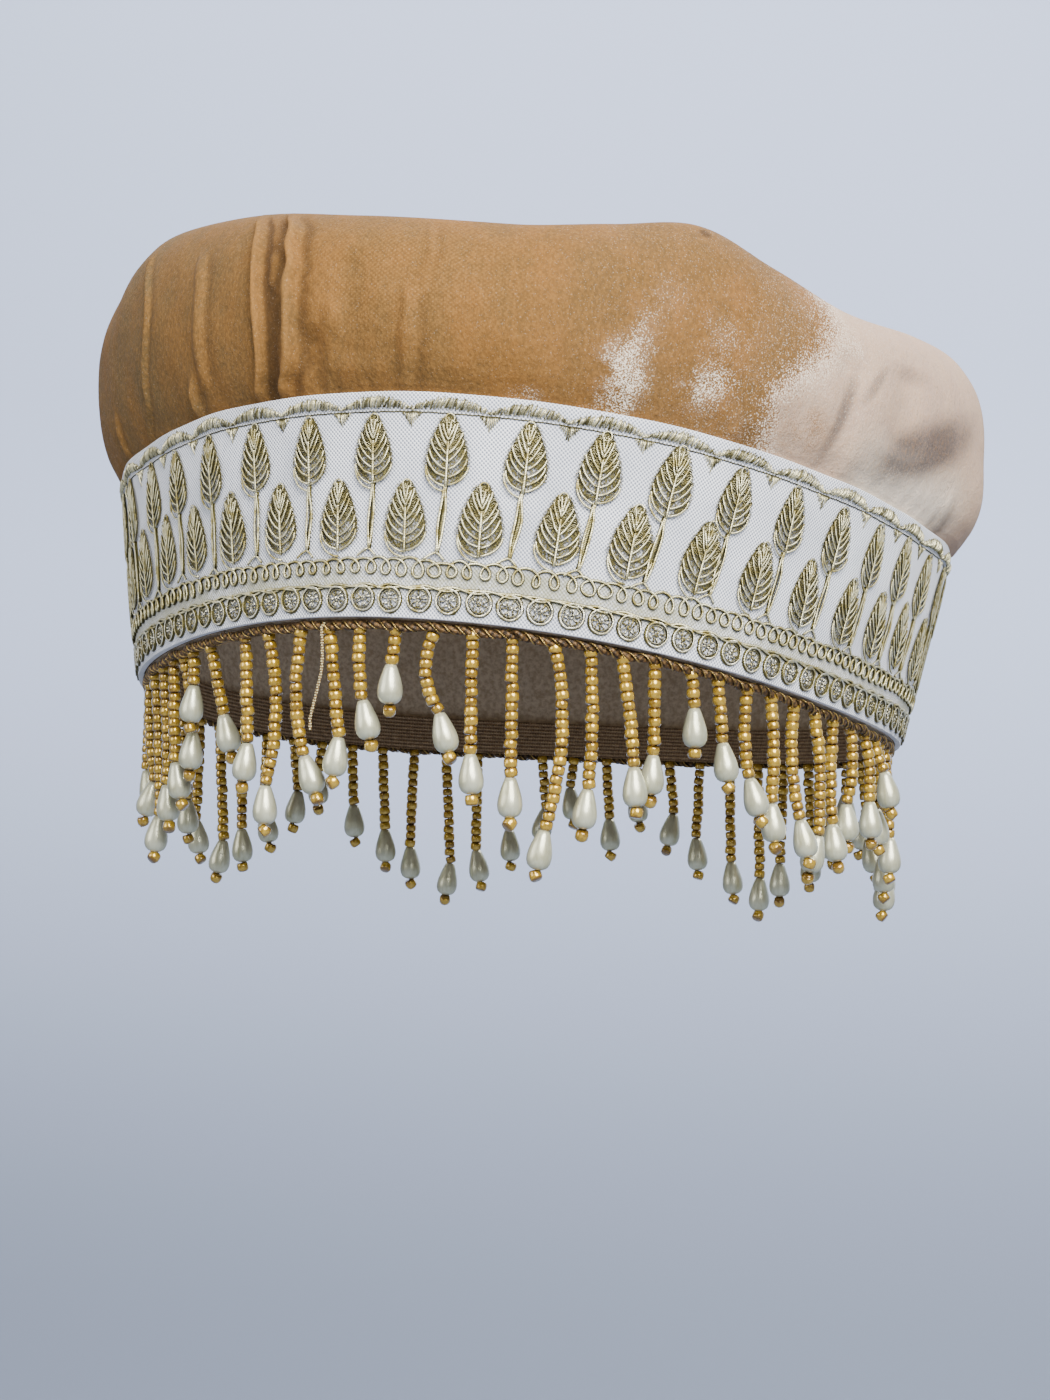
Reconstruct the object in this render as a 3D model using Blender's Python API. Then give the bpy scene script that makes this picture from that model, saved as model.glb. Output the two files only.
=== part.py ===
"""Velvet pillbox cap with an embroidered ribbon and a beaded drop fringe, as worn.

Metres, +Z plumb up, -Y the way the wearer faces. The origin is the centre of the head opening.
The cap is laid out upright round its own axis and then tilted back and to one side by one empty,
while the fringe hangs plumb from the tilted rim.
"""

import math

import bmesh
import bpy
from mathutils import Euler, Vector

# Head opening, measured on the outer face of the ribbon at its lower edge
RIM_LENGTH = 0.186
RIM_WIDTH = 0.176
LOBE_SHARE = 0.045        # soft rim pulled a little three-cornered, as a share of the radius
LOBE_TURN = 12            # degrees from the front
RIM_WAVE = 0.0022         # the rim rises and dips by this, twice round
RIM_WAVE_TURN = -15

# Pose on the head
TILT_BACK = 9.5           # degrees, front up
TILT_SIDE = 3.0           # degrees, +X side down

# Ribbon
RIBBON_HEIGHT = 0.045
RIBBON_THICKNESS = 0.0012
WALL_FLARE = 0.185        # outward run for each metre of rise
HEM_HEIGHT = 0.004        # the upper edge, folded over
HEM_THICKNESS = 0.0008

# Velvet
VELVET_THICKNESS = 0.002
CROWN_HEIGHT = 0.095
CROWN_BULGE = 0.0082      # how far the velvet stands out past the line of the flared ribbon
SHOULDER_TURN_IN = 0.009  # how much further in the top seam lies where the shoulder is roundest
SHOULDER_FOOT_SHARE = 0.35      # where the shoulder starts, as a share of the velvet's height
TOP_RISE = 0.005          # soft dome of the top panel over its seam
TUCK_WIDTH = 0.0046
TUCK_LIFT = 0.0034
TUCK_FADE_SHARE = 0.12          # how soon a tuck or hollow fades in at its foot and head, as a share of the height
HOLLOW_WIDTH = 0.048
HOLLOW_DEPTH = 0.003
FIT_GAP = 0.0003          # between sewn layers

# Fringe heading: a tape inside the rim with a twisted braid along its foot
TAPE_HEIGHT = 0.007
TAPE_THICKNESS = 0.0012
BRAID_WIDTH = 0.0036
BRAID_HEIGHT = 0.0030

# Fringe strands
STRANDS = 67                 # even places round the braid
LOST_STRAND = -6             # one of them is empty
FIRST_STRAND_ARC = -0.006    # along the braid from the front, towards +X
STRAND_SWAY = 0.0024         # unit of a strand's lean across the face
BEAD_DIAMETER = 0.0026
BEAD_PITCH = 0.0019
PEARL_DIAMETER = 0.0053
PEARL_LENGTH = 0.0084
END_BEAD = 0.0024
BEADS_IN_SCALLOP = (3, 7, 10, 12, 14, 12, 9, 6)
LAST_FRONT_STRAND = 17       # where the scallops that run on round the back start

# Resolution
ARC_STEPS = 1440
WALL_COLUMNS = 48
RIBBON_COLUMNS = 72
STRAND_SIDES = 6

# Height of the crown's top seam round the cap: turn from the front in degrees, share of CROWN_HEIGHT
CROWN_LINE = (
    (-180, 1.00),
    (-130, 1.03),
    (-80, 1.04),
    (-52, 0.99),
    (-30, 0.94),
    (-12, 0.89),
    (8, 0.87),
    (20, 0.90),
    (31, 0.94),
    (42, 0.90),
    (56, 0.87),
    (75, 0.91),
    (100, 0.96),
    (140, 1.00),
)

# Side profile above the ribbon: rise as a share of the velvet's height, stand-out as a share of CROWN_BULGE
CROWN_PROFILE = (
    (0.03, 0.18),
    (0.13, 0.52),
    (0.30, 0.85),
    (0.50, 1.00),
    (0.68, 0.95),
    (0.82, 0.74),
    (0.92, 0.38),
    (0.98, -0.02),
    (1.00, -0.40),
)

# How round the shoulder is round the cap: turn in degrees, share of SHOULDER_TURN_IN
SHOULDER_LINE = (
    (-180, 0.50),
    (-120, 0.30),
    (-78, -0.30),
    (-40, 0.20),
    (-10, 0.15),
    (60, 0.00),
    (100, 0.10),
    (140, 0.30),
)

# Standing tucks in the velvet: turn in degrees, width as a share of TUCK_WIDTH, lift of TUCK_LIFT,
# and foot and head as shares of the velvet's height
TUCKS = (
    {"turn": -77, "width": 0.90, "lift": 0.35, "foot": -0.1, "head": 0.45},
    {"turn": -52, "width": 0.85, "lift": 0.55, "foot": -0.1, "head": 0.90},
    {"turn": -39.5, "width": 0.85, "lift": 0.60, "foot": -0.1, "head": 0.24},
    {"turn": -36.5, "width": 0.92, "lift": 0.60, "foot": 0.14, "head": 0.86},
    {"turn": -24.3, "width": 1.00, "lift": 1.00, "foot": -0.1, "head": 1.00},
    {"turn": -18.6, "width": 1.00, "lift": 1.00, "foot": -0.1, "head": 1.00},
    {"turn": -2.5, "width": 1.25, "lift": 0.35, "foot": -0.1, "head": 0.75},
    {"turn": 36.5, "width": 0.80, "lift": 0.35, "foot": -0.1, "head": 0.16},
)

# Broad soft hollows on both faces of the velvet, in the same columns, of HOLLOW_WIDTH and HOLLOW_DEPTH
HOLLOWS = (
    {"turn": 51, "width": 0.30, "lift": -0.30, "foot": -0.1, "head": 0.75},
    {"turn": 66, "width": 0.50, "lift": -0.50, "foot": 0.20, "head": 0.75},
    {"turn": 96, "width": 1.20, "lift": 0.80, "foot": -0.1, "head": 0.36},
    {"turn": -10, "width": 0.33, "lift": -0.40, "foot": 0.10, "head": 0.75},
    {"turn": 150, "width": 1.00, "lift": -0.70, "foot": 0.05, "head": 0.85},
    {"turn": -125, "width": 0.90, "lift": -0.70, "foot": 0.05, "head": 0.85},
)

# Strands that hang as in the reference, by number from the front: beads, how far off its even place as a
# share of the pitch, and its lean at its middle, at the top of its pearl and at its tip in STRAND_SWAYs
STRAND_ROUTES = {
    -13: (11, -0.2, 0.0, 0.4, -1.0),
    -12: (16, 0.25, 0.4, 0.4, -0.3),
    -11: (13, 0.45, 0.3, 0.3, 0.5),
    -10: (11, 0.5, 0.0, 0.1, 0.8),
    -9: (8, 0.25, 0.7, 0.9, 0.5),
    -8: (3, -0.05, 0.1, 0.1, -0.4),
    -7: (7, 0.05, 0.7, 1.2, 2.2),
    -5: (11, -0.1, 0.1, 0.2, -0.4),
    -4: (16, -0.1, 0.2, -0.5, -0.5),
    -3: (13, 0.15, -0.4, -0.1, 1.4),
    -2: (11, 0.2, 0.2, 0.4, 0.0),
    -1: (7, 0.05, 0.2, 0.4, 0.8),
    0: (3, -0.05, -0.1, -0.1, -0.3),
    1: (8, 0.0, 0.2, 0.8, 1.7),
    2: (12, 0.05, -0.1, -0.2, -0.2),
    3: (14, 0.05, -0.1, -0.2, -0.3),
    4: (19, 0.1, 0.6, -0.9, -1.8),
    5: (14, 0.0, 0.2, -0.2, -0.8),
    6: (11, -0.15, 0.6, 1.0, 1.2),
    7: (9, -0.25, 0.0, -0.1, -0.4),
    8: (3, -0.15, 0.2, 0.3, 0.4),
    9: (6, -0.25, 0.2, 0.4, 1.0),
    10: (9, -0.2, -0.2, 0.2, 1.5),
    11: (11, -0.25, 0.3, 0.1, 0.5),
    12: (12, -0.15, -0.2, 0.5, 1.5),
    13: (13, -0.1, 0.5, 0.4, -0.8),
    14: (11, 0.0, -0.2, -0.1, 0.5),
    15: (8, 0.1, 0.3, -0.3, -0.1),
    16: (7, 0.3, 0.5, 0.5, 0.7),
    17: (3, 0.25, 0.4, 1.0, 1.8),
}
OTHER_SWAY_SHARE = 0.5         # the other strands lean by up to this share

# Pearl drop: place down its length, width as a share of PEARL_DIAMETER
PEARL_PROFILE = (
    (0.28, 0.60),
    (0.58, 0.96),
    (0.84, 0.90),
    (1.00, 0.40),
)

COLOURS = {
    "velvet": ((0.50, 0.27, 0.11), 0.85, 0.0),
    "ribbon": ((0.78, 0.79, 0.80), 0.70, 0.0),
    "fringe": ((0.62, 0.42, 0.14), 0.35, 0.4),
}


def clear_scene():
    for item in list(bpy.data.objects):
        bpy.data.objects.remove(item)


def finish_named(name):
    colour, roughness, metallic = COLOURS[name]
    material = bpy.data.materials.new(name)
    material.use_nodes = True
    shader = material.node_tree.nodes["Principled BSDF"]
    shader.inputs["Base Color"].default_value = (*colour, 1.0)
    shader.inputs["Roughness"].default_value = roughness
    shader.inputs["Metallic"].default_value = metallic
    return material


def smooth(share):
    share = min(1.0, max(0.0, share))
    return share * share * (3 - 2 * share)


def eased(rows, at, period=None):
    """Value at a place in a table of (place, value) rows, eased; period closes the table on itself."""
    places = [row[0] for row in rows]
    values = [row[1] for row in rows]
    if period:
        at = (at - places[0]) % period + places[0]
        places = [places[-1] - period, *places, places[0] + period, places[1] + period]
        values = [values[-1], *values, values[0], values[1]]
    if at <= places[0]:
        return values[0]
    if at >= places[-1]:
        return values[-1]
    last = len(places) - 1
    slopes = []
    for i in range(len(places)):
        before, after = max(0, i - 1), min(last, i + 1)
        slopes.append((values[after] - values[before]) / (places[after] - places[before]))
    i = max(k for k in range(last) if places[k] <= at)
    span = places[i + 1] - places[i]
    t = (at - places[i]) / span
    start = (1 + 2 * t) * (1 - t) ** 2 * values[i] + t * (1 - t) ** 2 * span * slopes[i]
    end = t * t * (3 - 2 * t) * values[i + 1] + t * t * (t - 1) * span * slopes[i + 1]
    return start + end


def rim_point(turn, out=0.0, rise=0.0):
    """A point at a turn in degrees from the front, out from the rim's outer line, and up from the rim."""
    angle = math.radians(turn)
    lobe = 1 + LOBE_SHARE * math.cos(3 * (angle - math.radians(LOBE_TURN)))
    x = RIM_WIDTH / 2 * math.sin(angle) * lobe
    y = -RIM_LENGTH / 2 * math.cos(angle) * lobe
    radius = math.hypot(x, y)
    wave = RIM_WAVE * math.cos(2 * (angle - math.radians(RIM_WAVE_TURN)))
    return Vector((x * (radius + out) / radius, y * (radius + out) / radius, wave + rise))


def turn_table(out=0.0):
    """Turns in degrees and the arc length from the front to each, along the rim."""
    turns = [-180 + 360 * i / ARC_STEPS for i in range(ARC_STEPS + 1)]
    points = [rim_point(turn, out) for turn in turns]
    arcs = [0.0]
    for a, b in zip(points, points[1:]):
        arcs.append(arcs[-1] + (b - a).length)
    front = arcs[ARC_STEPS // 2]
    return turns, [arc - front for arc in arcs]


def turn_at(arc, table):
    turns, arcs = table
    whole = arcs[-1] - arcs[0]
    arc = (arc - arcs[0]) % whole + arcs[0]
    i = max(k for k in range(len(arcs) - 1) if arcs[k] <= arc)
    return turns[i] + (turns[i + 1] - turns[i]) * (arc - arcs[i]) / (arcs[i + 1] - arcs[i])


def arc_between(turn_a, turn_b):
    """Signed arc from one turn to another, short enough to take as straight."""
    gap = (turn_b - turn_a + 180) % 360 - 180
    reach = rim_point((turn_a + turn_b) / 2, RIBBON_HEIGHT * WALL_FLARE).length
    return math.radians(gap) * reach


def crown_rise(turn):
    return CROWN_HEIGHT * eased(CROWN_LINE, turn, 360)


def relief(shapes, width, lift, turn, share):
    """How far the tucks or hollows lift the velvet at a turn and at a share of its height."""
    total = 0.0
    for shape in shapes:
        across = abs(arc_between(shape["turn"], turn)) / (shape["width"] * width / 2)
        if across >= 1:
            continue
        foot = smooth((share - shape["foot"]) / TUCK_FADE_SHARE)
        head = smooth((shape["head"] - share) / TUCK_FADE_SHARE)
        total += shape["lift"] * (0.5 + 0.5 * math.cos(math.pi * across)) * foot * head
    return total * lift


def velvet_line(turn, share):
    """Out and rise of the velvet's outer face, without tucks, at a share of its height above the ribbon."""
    line = behind_ribbon(RIBBON_HEIGHT)
    over = max(0.0, (share - SHOULDER_FOOT_SHARE) / (1 - SHOULDER_FOOT_SHARE))
    turn_in = SHOULDER_TURN_IN * eased(SHOULDER_LINE, turn, 360) * over * over
    out = line + CROWN_BULGE * eased(CROWN_PROFILE, share) - turn_in
    out += relief(HOLLOWS, HOLLOW_WIDTH, HOLLOW_DEPTH, turn, share)
    return Vector((out, RIBBON_HEIGHT + (crown_rise(turn) - RIBBON_HEIGHT) * share))


def velvet_row(turn, share, inner=False):
    """Out and rise of one face of the velvet at a share of its height; 1 is the top seam."""
    place = velvet_line(turn, share)
    if not inner:
        return place.x + relief(TUCKS, TUCK_WIDTH, TUCK_LIFT, turn, share), place.y
    step = 0.02
    way = velvet_line(turn, min(1.0, share + step)) - velvet_line(turn, share - step)
    return place + Vector((-way.y, way.x)).normalized() * VELVET_THICKNESS


def behind_ribbon(rise, inner=False):
    """Out of the velvet's face where the ribbon covers it."""
    out = rise * WALL_FLARE - RIBBON_THICKNESS - FIT_GAP
    return out - VELVET_THICKNESS if inner else out


def wall_turns():
    """Turns of the wall's columns: even ones, and five more across each tuck."""
    turns = {round(-180 + 360 * i / WALL_COLUMNS, 3) for i in range(WALL_COLUMNS)}
    for tuck in TUCKS:
        for place in (-0.5, -0.25, 0.0, 0.25, 0.5):
            reach = rim_point(tuck["turn"], RIBBON_HEIGHT * WALL_FLARE).length
            turns.add(round(tuck["turn"] + math.degrees(place * tuck["width"] * TUCK_WIDTH / reach), 3))
    kept = []
    for turn in sorted(turns):
        if not kept or turn - kept[-1] > 0.4:
            kept.append(turn)
    return kept


def new_object(name, mesh, finish, tilt):
    mesh.materials.append(finish)
    item = bpy.data.objects.new(name, mesh)
    bpy.context.scene.collection.objects.link(item)
    item.parent = tilt
    mesh.shade_smooth()
    mesh.set_sharp_from_angle(angle=math.radians(40))
    return item


def mesh_of(build):
    """A mesh filled in by a function that takes an empty bmesh."""
    shape = bmesh.new()
    build(shape)
    bmesh.ops.recalc_face_normals(shape, faces=shape.faces)
    mesh = bpy.data.meshes.new("shape")
    shape.to_mesh(mesh)
    shape.free()
    return mesh


def skin_rows(shape, rows, around=True):
    """Quads between each row of points and the next; around closes each row on itself."""
    grid = [[shape.verts.new(point) for point in row] for row in rows]
    count = len(grid[0])
    last = count if around else count - 1
    for low, high in zip(grid, grid[1:]):
        for i in range(last):
            j = (i + 1) % count
            shape.faces.new((low[i], low[j], high[j], high[i]))
    return grid


def closed_wall(rows):
    """A ring-shaped wall whose section is the loop of rows."""

    def build(shape):
        grid = skin_rows(shape, rows)
        count = len(rows[0])
        for i in range(count):
            j = (i + 1) % count
            shape.faces.new((grid[-1][i], grid[-1][j], grid[0][j], grid[0][i]))

    return mesh_of(build)


def crown_side(tilt, finish):
    """The velvet side panel, from the rim behind the ribbon up over the shoulder to the top seam."""
    turns = wall_turns()
    outer_shares = [row[0] for row in CROWN_PROFILE]
    inner_shares = (1.0, 0.88, 0.60, 0.05)
    rows = [[rim_point(t, behind_ribbon(0.0), 0.0) for t in turns]]
    rows.append([rim_point(t, behind_ribbon(RIBBON_HEIGHT), RIBBON_HEIGHT) for t in turns])
    for share in outer_shares:
        rows.append([rim_point(t, *velvet_row(t, share)) for t in turns])
    for share in inner_shares:
        rows.append([rim_point(t, *velvet_row(t, share, inner=True)) for t in turns])
    rows.append([rim_point(t, behind_ribbon(0.0, inner=True), 0.0) for t in turns])
    return new_object("crown_side", closed_wall(rows), finish, tilt)


def crown_top(tilt, finish):
    """The oval top panel, a shallow dome sewn edge to edge with the side panel."""
    turns = [-180 + 360 * i / WALL_COLUMNS for i in range(WALL_COLUMNS)]
    rings = (1.0, 0.86, 0.62, 0.34)

    def edge(inner):
        points = []
        for turn in turns:
            out, rise = velvet_row(turn, 1.0, inner)
            points.append(rim_point(turn, out - FIT_GAP, rise))
        return points

    def dome(rim, scale, middle):
        keep = scale * scale
        return [Vector((p.x * scale, p.y * scale, p.z * keep + middle * (1 - keep))) for p in rim]

    over_edge, under_edge = edge(False), edge(True)
    middle = sum(point.z for point in over_edge) / len(over_edge) + TOP_RISE
    under = [dome(under_edge, scale, middle - VELVET_THICKNESS) for scale in rings]
    over = [dome(over_edge, scale, middle) for scale in rings]

    def build(shape):
        grid = skin_rows(shape, list(reversed(under)) + over)
        for ring, height in ((grid[0], middle - VELVET_THICKNESS), (grid[-1], middle)):
            pole = shape.verts.new((0.0, 0.0, height))
            for i in range(len(ring)):
                shape.faces.new((ring[i], ring[(i + 1) % len(ring)], pole))

    return new_object("crown_top", mesh_of(build), finish, tilt)


def ribbon_band(tilt, finish):
    """The embroidered ribbon round the rim, with its upper edge folded over into a hem."""
    turns = [-180 + 360 * i / RIBBON_COLUMNS for i in range(RIBBON_COLUMNS)]
    hem_foot = RIBBON_HEIGHT - HEM_HEIGHT
    section = (
        (-RIBBON_THICKNESS, 0.0),
        (0.0, 0.0),
        (0.0, hem_foot),
        (HEM_THICKNESS, hem_foot),
        (HEM_THICKNESS, RIBBON_HEIGHT),
        (-RIBBON_THICKNESS, RIBBON_HEIGHT),
    )
    rows = [[rim_point(t, rise * WALL_FLARE + out, rise) for t in turns] for out, rise in section]
    return new_object("ribbon_band", closed_wall(rows), finish, tilt)


def braid_place():
    """Out and rise of the middle of the braid's section, under the velvet's lower edge."""
    out = behind_ribbon(0.0) - BRAID_WIDTH / 2 + FIT_GAP
    return out, -FIT_GAP - BRAID_HEIGHT / 2


def heading_section():
    """Out and rise round the section of the tape and the braid at its foot."""
    middle, level = braid_place()
    half, tall = BRAID_WIDTH / 2, BRAID_HEIGHT / 2
    tape_face = behind_ribbon(0.0, inner=True) - FIT_GAP
    lean = TAPE_HEIGHT * WALL_FLARE
    return (
        (tape_face - TAPE_THICKNESS, -FIT_GAP),
        (tape_face - TAPE_THICKNESS + lean, TAPE_HEIGHT),
        (tape_face + lean, TAPE_HEIGHT),
        (tape_face, -FIT_GAP),
        (middle + half, level + tall),
        (middle + half * 0.8, level - tall * 0.7),
        (middle - half * 0.5, level - tall),
    )


def strand_route(number):
    """Beads, place round the braid as a share of the pitch, and leans of a strand by its number."""
    near = (number + STRANDS // 2) % STRANDS - STRANDS // 2
    if near in STRAND_ROUTES:
        return near, STRAND_ROUTES[near]
    step = near - LAST_FRONT_STRAND if near > 0 else -near
    beads = BEADS_IN_SCALLOP[step % len(BEADS_IN_SCALLOP)]
    lean = OTHER_SWAY_SHARE * math.sin(2.4 * near)
    tip = OTHER_SWAY_SHARE * math.sin(1.7 * near + 1)
    return near, (beads, 0.0, None, lean, tip)


def strand_stations(number, table, tilt_matrix):
    """Centres and radii of a strand's sections, hanging plumb: rod of seed beads, pearl, end bead."""
    near, (beads, shift, middle_lean, top_lean, tip_lean) = strand_route(number)
    out, level = braid_place()
    pitch = (table[1][-1] - table[1][0]) / STRANDS
    turn = turn_at(FIRST_STRAND_ARC + (near + shift) * pitch, table)
    root = rim_point(turn, out, level)
    down = tilt_matrix.inverted() @ Vector((0, 0, -1))
    across = tilt_matrix.inverted() @ Vector((STRAND_SWAY, 0, 0))
    hang = BRAID_HEIGHT / 2 + beads * BEAD_PITCH
    top = root + down * hang + across * top_lean
    tip = root + down * (hang + PEARL_LENGTH + END_BEAD) + across * tip_lean
    rod = BEAD_DIAMETER / 2
    stations = [(root, rod)]
    if middle_lean is not None:
        stations.append((root + down * hang / 2 + across * middle_lean, rod))
    stations.append((top, rod))
    pearl_share = PEARL_LENGTH / (PEARL_LENGTH + END_BEAD)
    for place, width in PEARL_PROFILE:
        stations.append((top.lerp(tip, place * pearl_share), PEARL_DIAMETER / 2 * width))
    stations.append((tip, END_BEAD * 0.42))
    return stations


def add_strand(shape, stations):
    """A closed rod through the stations."""
    rings = []
    for i, (centre, radius) in enumerate(stations):
        before = stations[max(0, i - 1)][0]
        after = stations[min(len(stations) - 1, i + 1)][0]
        axis = (after - before).normalized()
        side = axis.cross(Vector((0, 1, 0.01))).normalized()
        front = axis.cross(side)
        ring = []
        for k in range(STRAND_SIDES):
            angle = 2 * math.pi * k / STRAND_SIDES
            ring.append(centre + (side * math.cos(angle) + front * math.sin(angle)) * radius)
        rings.append(ring)
    grid = skin_rows(shape, rings)
    shape.faces.new(grid[0])
    shape.faces.new(grid[-1])


def bead_fringe(tilt, tilt_matrix, finish):
    """The fringe: its tape and braid inside the rim, with every strand fused to it."""
    turns = [-180 + 360 * i / RIBBON_COLUMNS for i in range(RIBBON_COLUMNS)]
    rows = [[rim_point(t, out, rise) for t in turns] for out, rise in heading_section()]
    heading = new_object("bead_fringe", closed_wall(rows), finish, tilt)
    table = turn_table(braid_place()[0])

    def build(shape):
        for number in range(STRANDS):
            if number == LOST_STRAND % STRANDS:
                continue
            add_strand(shape, strand_stations(number, table, tilt_matrix))

    strands = new_object("strands_to_fuse", mesh_of(build), finish, tilt)
    strands.hide_render = True
    strands.display_type = "WIRE"
    fuse = heading.modifiers.new("fuse strands", "BOOLEAN")
    fuse.operation = "UNION"
    fuse.object = strands
    fuse.solver = "EXACT"
    return heading


def main():
    clear_scene()
    tilt = bpy.data.objects.new("worn_tilt", None)
    tilt.rotation_euler = (math.radians(-TILT_BACK), math.radians(TILT_SIDE), 0.0)
    bpy.context.scene.collection.objects.link(tilt)
    tilt_matrix = Euler(tilt.rotation_euler).to_matrix()
    velvet = finish_named("velvet")
    crown_side(tilt, velvet)
    crown_top(tilt, velvet)
    ribbon_band(tilt, finish_named("ribbon"))
    bead_fringe(tilt, tilt_matrix, finish_named("fringe"))


main()
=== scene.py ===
"""Looks of a velvet pillbox cap with an embroidered ribbon and a beaded drop fringe, as worn.

Metres, +Z plumb up, -Y the way the wearer faces, and the origin at the centre of the head opening, as the
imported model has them. Places on the cap are given as a turn in degrees from the front, towards +X, with an
outward reach and a rise from the rim; the whole cap is then tilted as it is worn.
"""

import math

import bpy
import numpy as np
from mathutils import Euler, Matrix, Vector


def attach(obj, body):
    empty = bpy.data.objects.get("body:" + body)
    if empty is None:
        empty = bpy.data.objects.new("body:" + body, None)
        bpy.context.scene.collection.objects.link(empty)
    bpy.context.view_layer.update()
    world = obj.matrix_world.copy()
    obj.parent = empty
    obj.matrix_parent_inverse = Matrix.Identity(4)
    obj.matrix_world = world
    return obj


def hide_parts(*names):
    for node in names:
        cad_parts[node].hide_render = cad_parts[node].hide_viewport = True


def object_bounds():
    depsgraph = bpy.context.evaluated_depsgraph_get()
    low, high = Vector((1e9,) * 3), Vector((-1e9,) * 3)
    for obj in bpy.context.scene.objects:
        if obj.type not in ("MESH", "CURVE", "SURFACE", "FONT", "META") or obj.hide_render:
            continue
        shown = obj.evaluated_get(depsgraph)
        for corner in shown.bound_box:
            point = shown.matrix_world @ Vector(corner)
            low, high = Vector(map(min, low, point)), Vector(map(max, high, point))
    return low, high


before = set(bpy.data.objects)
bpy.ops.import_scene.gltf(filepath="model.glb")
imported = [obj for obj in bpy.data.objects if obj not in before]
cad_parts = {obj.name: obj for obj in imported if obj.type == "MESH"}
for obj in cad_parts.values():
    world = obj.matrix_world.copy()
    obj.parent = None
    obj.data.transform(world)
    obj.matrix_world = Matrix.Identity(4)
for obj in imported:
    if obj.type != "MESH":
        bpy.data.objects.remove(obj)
cad_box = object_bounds()

bl_info = {
    "name": "Velvet cap",
    "version": (1, 0, 0),
    "blender": (4, 5, 0),
    "location": "3D View > Sidebar > Velvet Cap",
    "description": "Builds a velvet cap with an embroidered ribbon and a bead fringe",
    "category": "Add Mesh",
}

MM = 0.001

# The head opening, as the solids have it
RIM_LENGTH = 0.186
RIM_WIDTH = 0.176
LOBE_SHARE = 0.045
LOBE_TURN = 12
RIM_WAVE = 0.0022
RIM_WAVE_TURN = -15
TILT_BACK = 9.5
TILT_SIDE = 3.0

# Ribbon and velvet, as the solids have them
RIBBON_HEIGHT = 0.045
RIBBON_THICKNESS = 0.0012
WALL_FLARE = 0.185
HEM_HEIGHT = 0.004
HEM_THICKNESS = 0.0008
HEM_STEP = HEM_THICKNESS * 0.6      # pressed flatter where the hem is stitched down
CROWN_HEIGHT = 0.095
CROWN_BULGE = 0.0082
SHOULDER_TURN_IN = 0.009
SHOULDER_FOOT = 0.35
TOP_RISE = 0.005
LAYER_GAP = 0.0003

CROWN_LINE = (
    (-180, 1.00),
    (-130, 1.03),
    (-80, 1.04),
    (-52, 0.99),
    (-30, 0.94),
    (-12, 0.89),
    (8, 0.87),
    (20, 0.90),
    (31, 0.94),
    (42, 0.90),
    (56, 0.87),
    (75, 0.91),
    (100, 0.96),
    (140, 1.00),
)

CROWN_PROFILE = (
    (0.03, 0.18),
    (0.13, 0.52),
    (0.30, 0.85),
    (0.50, 1.00),
    (0.68, 0.95),
    (0.82, 0.74),
    (0.92, 0.38),
    (0.98, -0.02),
    (1.00, -0.40),
)

SHOULDER_LINE = (
    (-180, 0.50),
    (-120, 0.30),
    (-78, -0.30),
    (-40, 0.20),
    (-10, 0.15),
    (60, 0.00),
    (100, 0.10),
    (140, 0.30),
)

# Standing tucks of the velvet: the path as (share of its height, turn), the width and lift in millimetres
# Each tuck's dark pair gives how deep the crease beside it is and how much shade is painted there, the side towards
# lower turns first.
TUCKS = (
    {"path": ((0.0, -66.0), (0.3, -65.0)), "width": 1.6, "lift": 0.9, "foot": -0.2, "head": 0.24},
    {
        "path": (
            (0.0, -54.8),
            (0.03, -55.2),
            (0.13, -52.1),
            (0.24, -51.2),
            (0.37, -50.0),
            (0.55, -49.5),
            (0.74, -52.4),
            (0.86, -55.2),
        ),
        "width": 1.5,
        "lift": 0.95,
        "foot": -0.2,
        "head": 0.90,
    },
    {"path": ((0.0, -38.8), (0.06, -38.6), (0.12, -38.2)), "width": 1.8, "lift": 1.7, "foot": -0.2, "head": 0.20},
    {
        "path": ((0.1, -35.7), (0.19, -35.4), (0.28, -35.6), (0.41, -35.6), (0.55, -35.8), (0.66, -36.8), (0.85, -38.9)),
        "width": 2.7,
        "lift": 1.0,
        "foot": 0.06,
        "head": 0.80,
    },
    {
        "path": (
            (0.0, -24.8),
            (0.05, -24.5),
            (0.12, -23.7),
            (0.20, -23.3),
            (0.30, -23.2),
            (0.43, -23.6),
            (0.57, -24.2),
            (0.72, -25.1),
            (0.84, -26.2),
            (0.92, -28.3),
            (1.0, -31.5),
        ),
        "width": 1.95,
        "lift": 2.1,
        "foot": -0.2,
        "head": 1.0,
        "dark": (0.25, 1.0),
    },
    {
        "path": (
            (0.0, -20.6),
            (0.06, -20.2),
            (0.11, -19.3),
            (0.19, -18.7),
            (0.30, -18.5),
            (0.42, -18.4),
            (0.55, -18.6),
            (0.64, -18.3),
            (0.75, -19.4),
            (0.86, -20.2),
            (0.92, -22.1),
            (1.0, -25.3),
        ),
        "width": 2.5,
        "lift": 2.2,
        "foot": -0.2,
        "head": 1.0,
        "dark": (0.75, 0.6),
    },
    {"path": ((0.0, -13.5), (0.12, -13.9)), "width": 1.7, "lift": 0.8, "foot": -0.2, "head": 0.12},
    {"path": ((0.0, -8.4), (0.12, -8.9)), "width": 1.6, "lift": 0.6, "foot": -0.2, "head": 0.11},
    {
        "path": ((0.0, -3.2), (0.12, -2.6), (0.35, -2.3), (0.56, -2.2), (0.70, -0.8)),
        "width": 2.3,
        "lift": 1.0,
        "foot": -0.2,
        "head": 0.56,
    },
    {"path": ((0.6, -0.8), (0.70, -0.3), (0.84, -0.9), (0.95, -1.5)), "width": 1.3, "lift": 0.45, "foot": 0.58, "head": 0.98},
    {"path": ((0.0, 37.6), (0.14, 37.2)), "width": 1.9, "lift": 1.1, "foot": -0.2, "head": 0.15},
    {"path": ((0.0, 86.0), (0.2, 84.0)), "width": 2.4, "lift": 0.5, "foot": -0.2, "head": 0.25},
)

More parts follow.
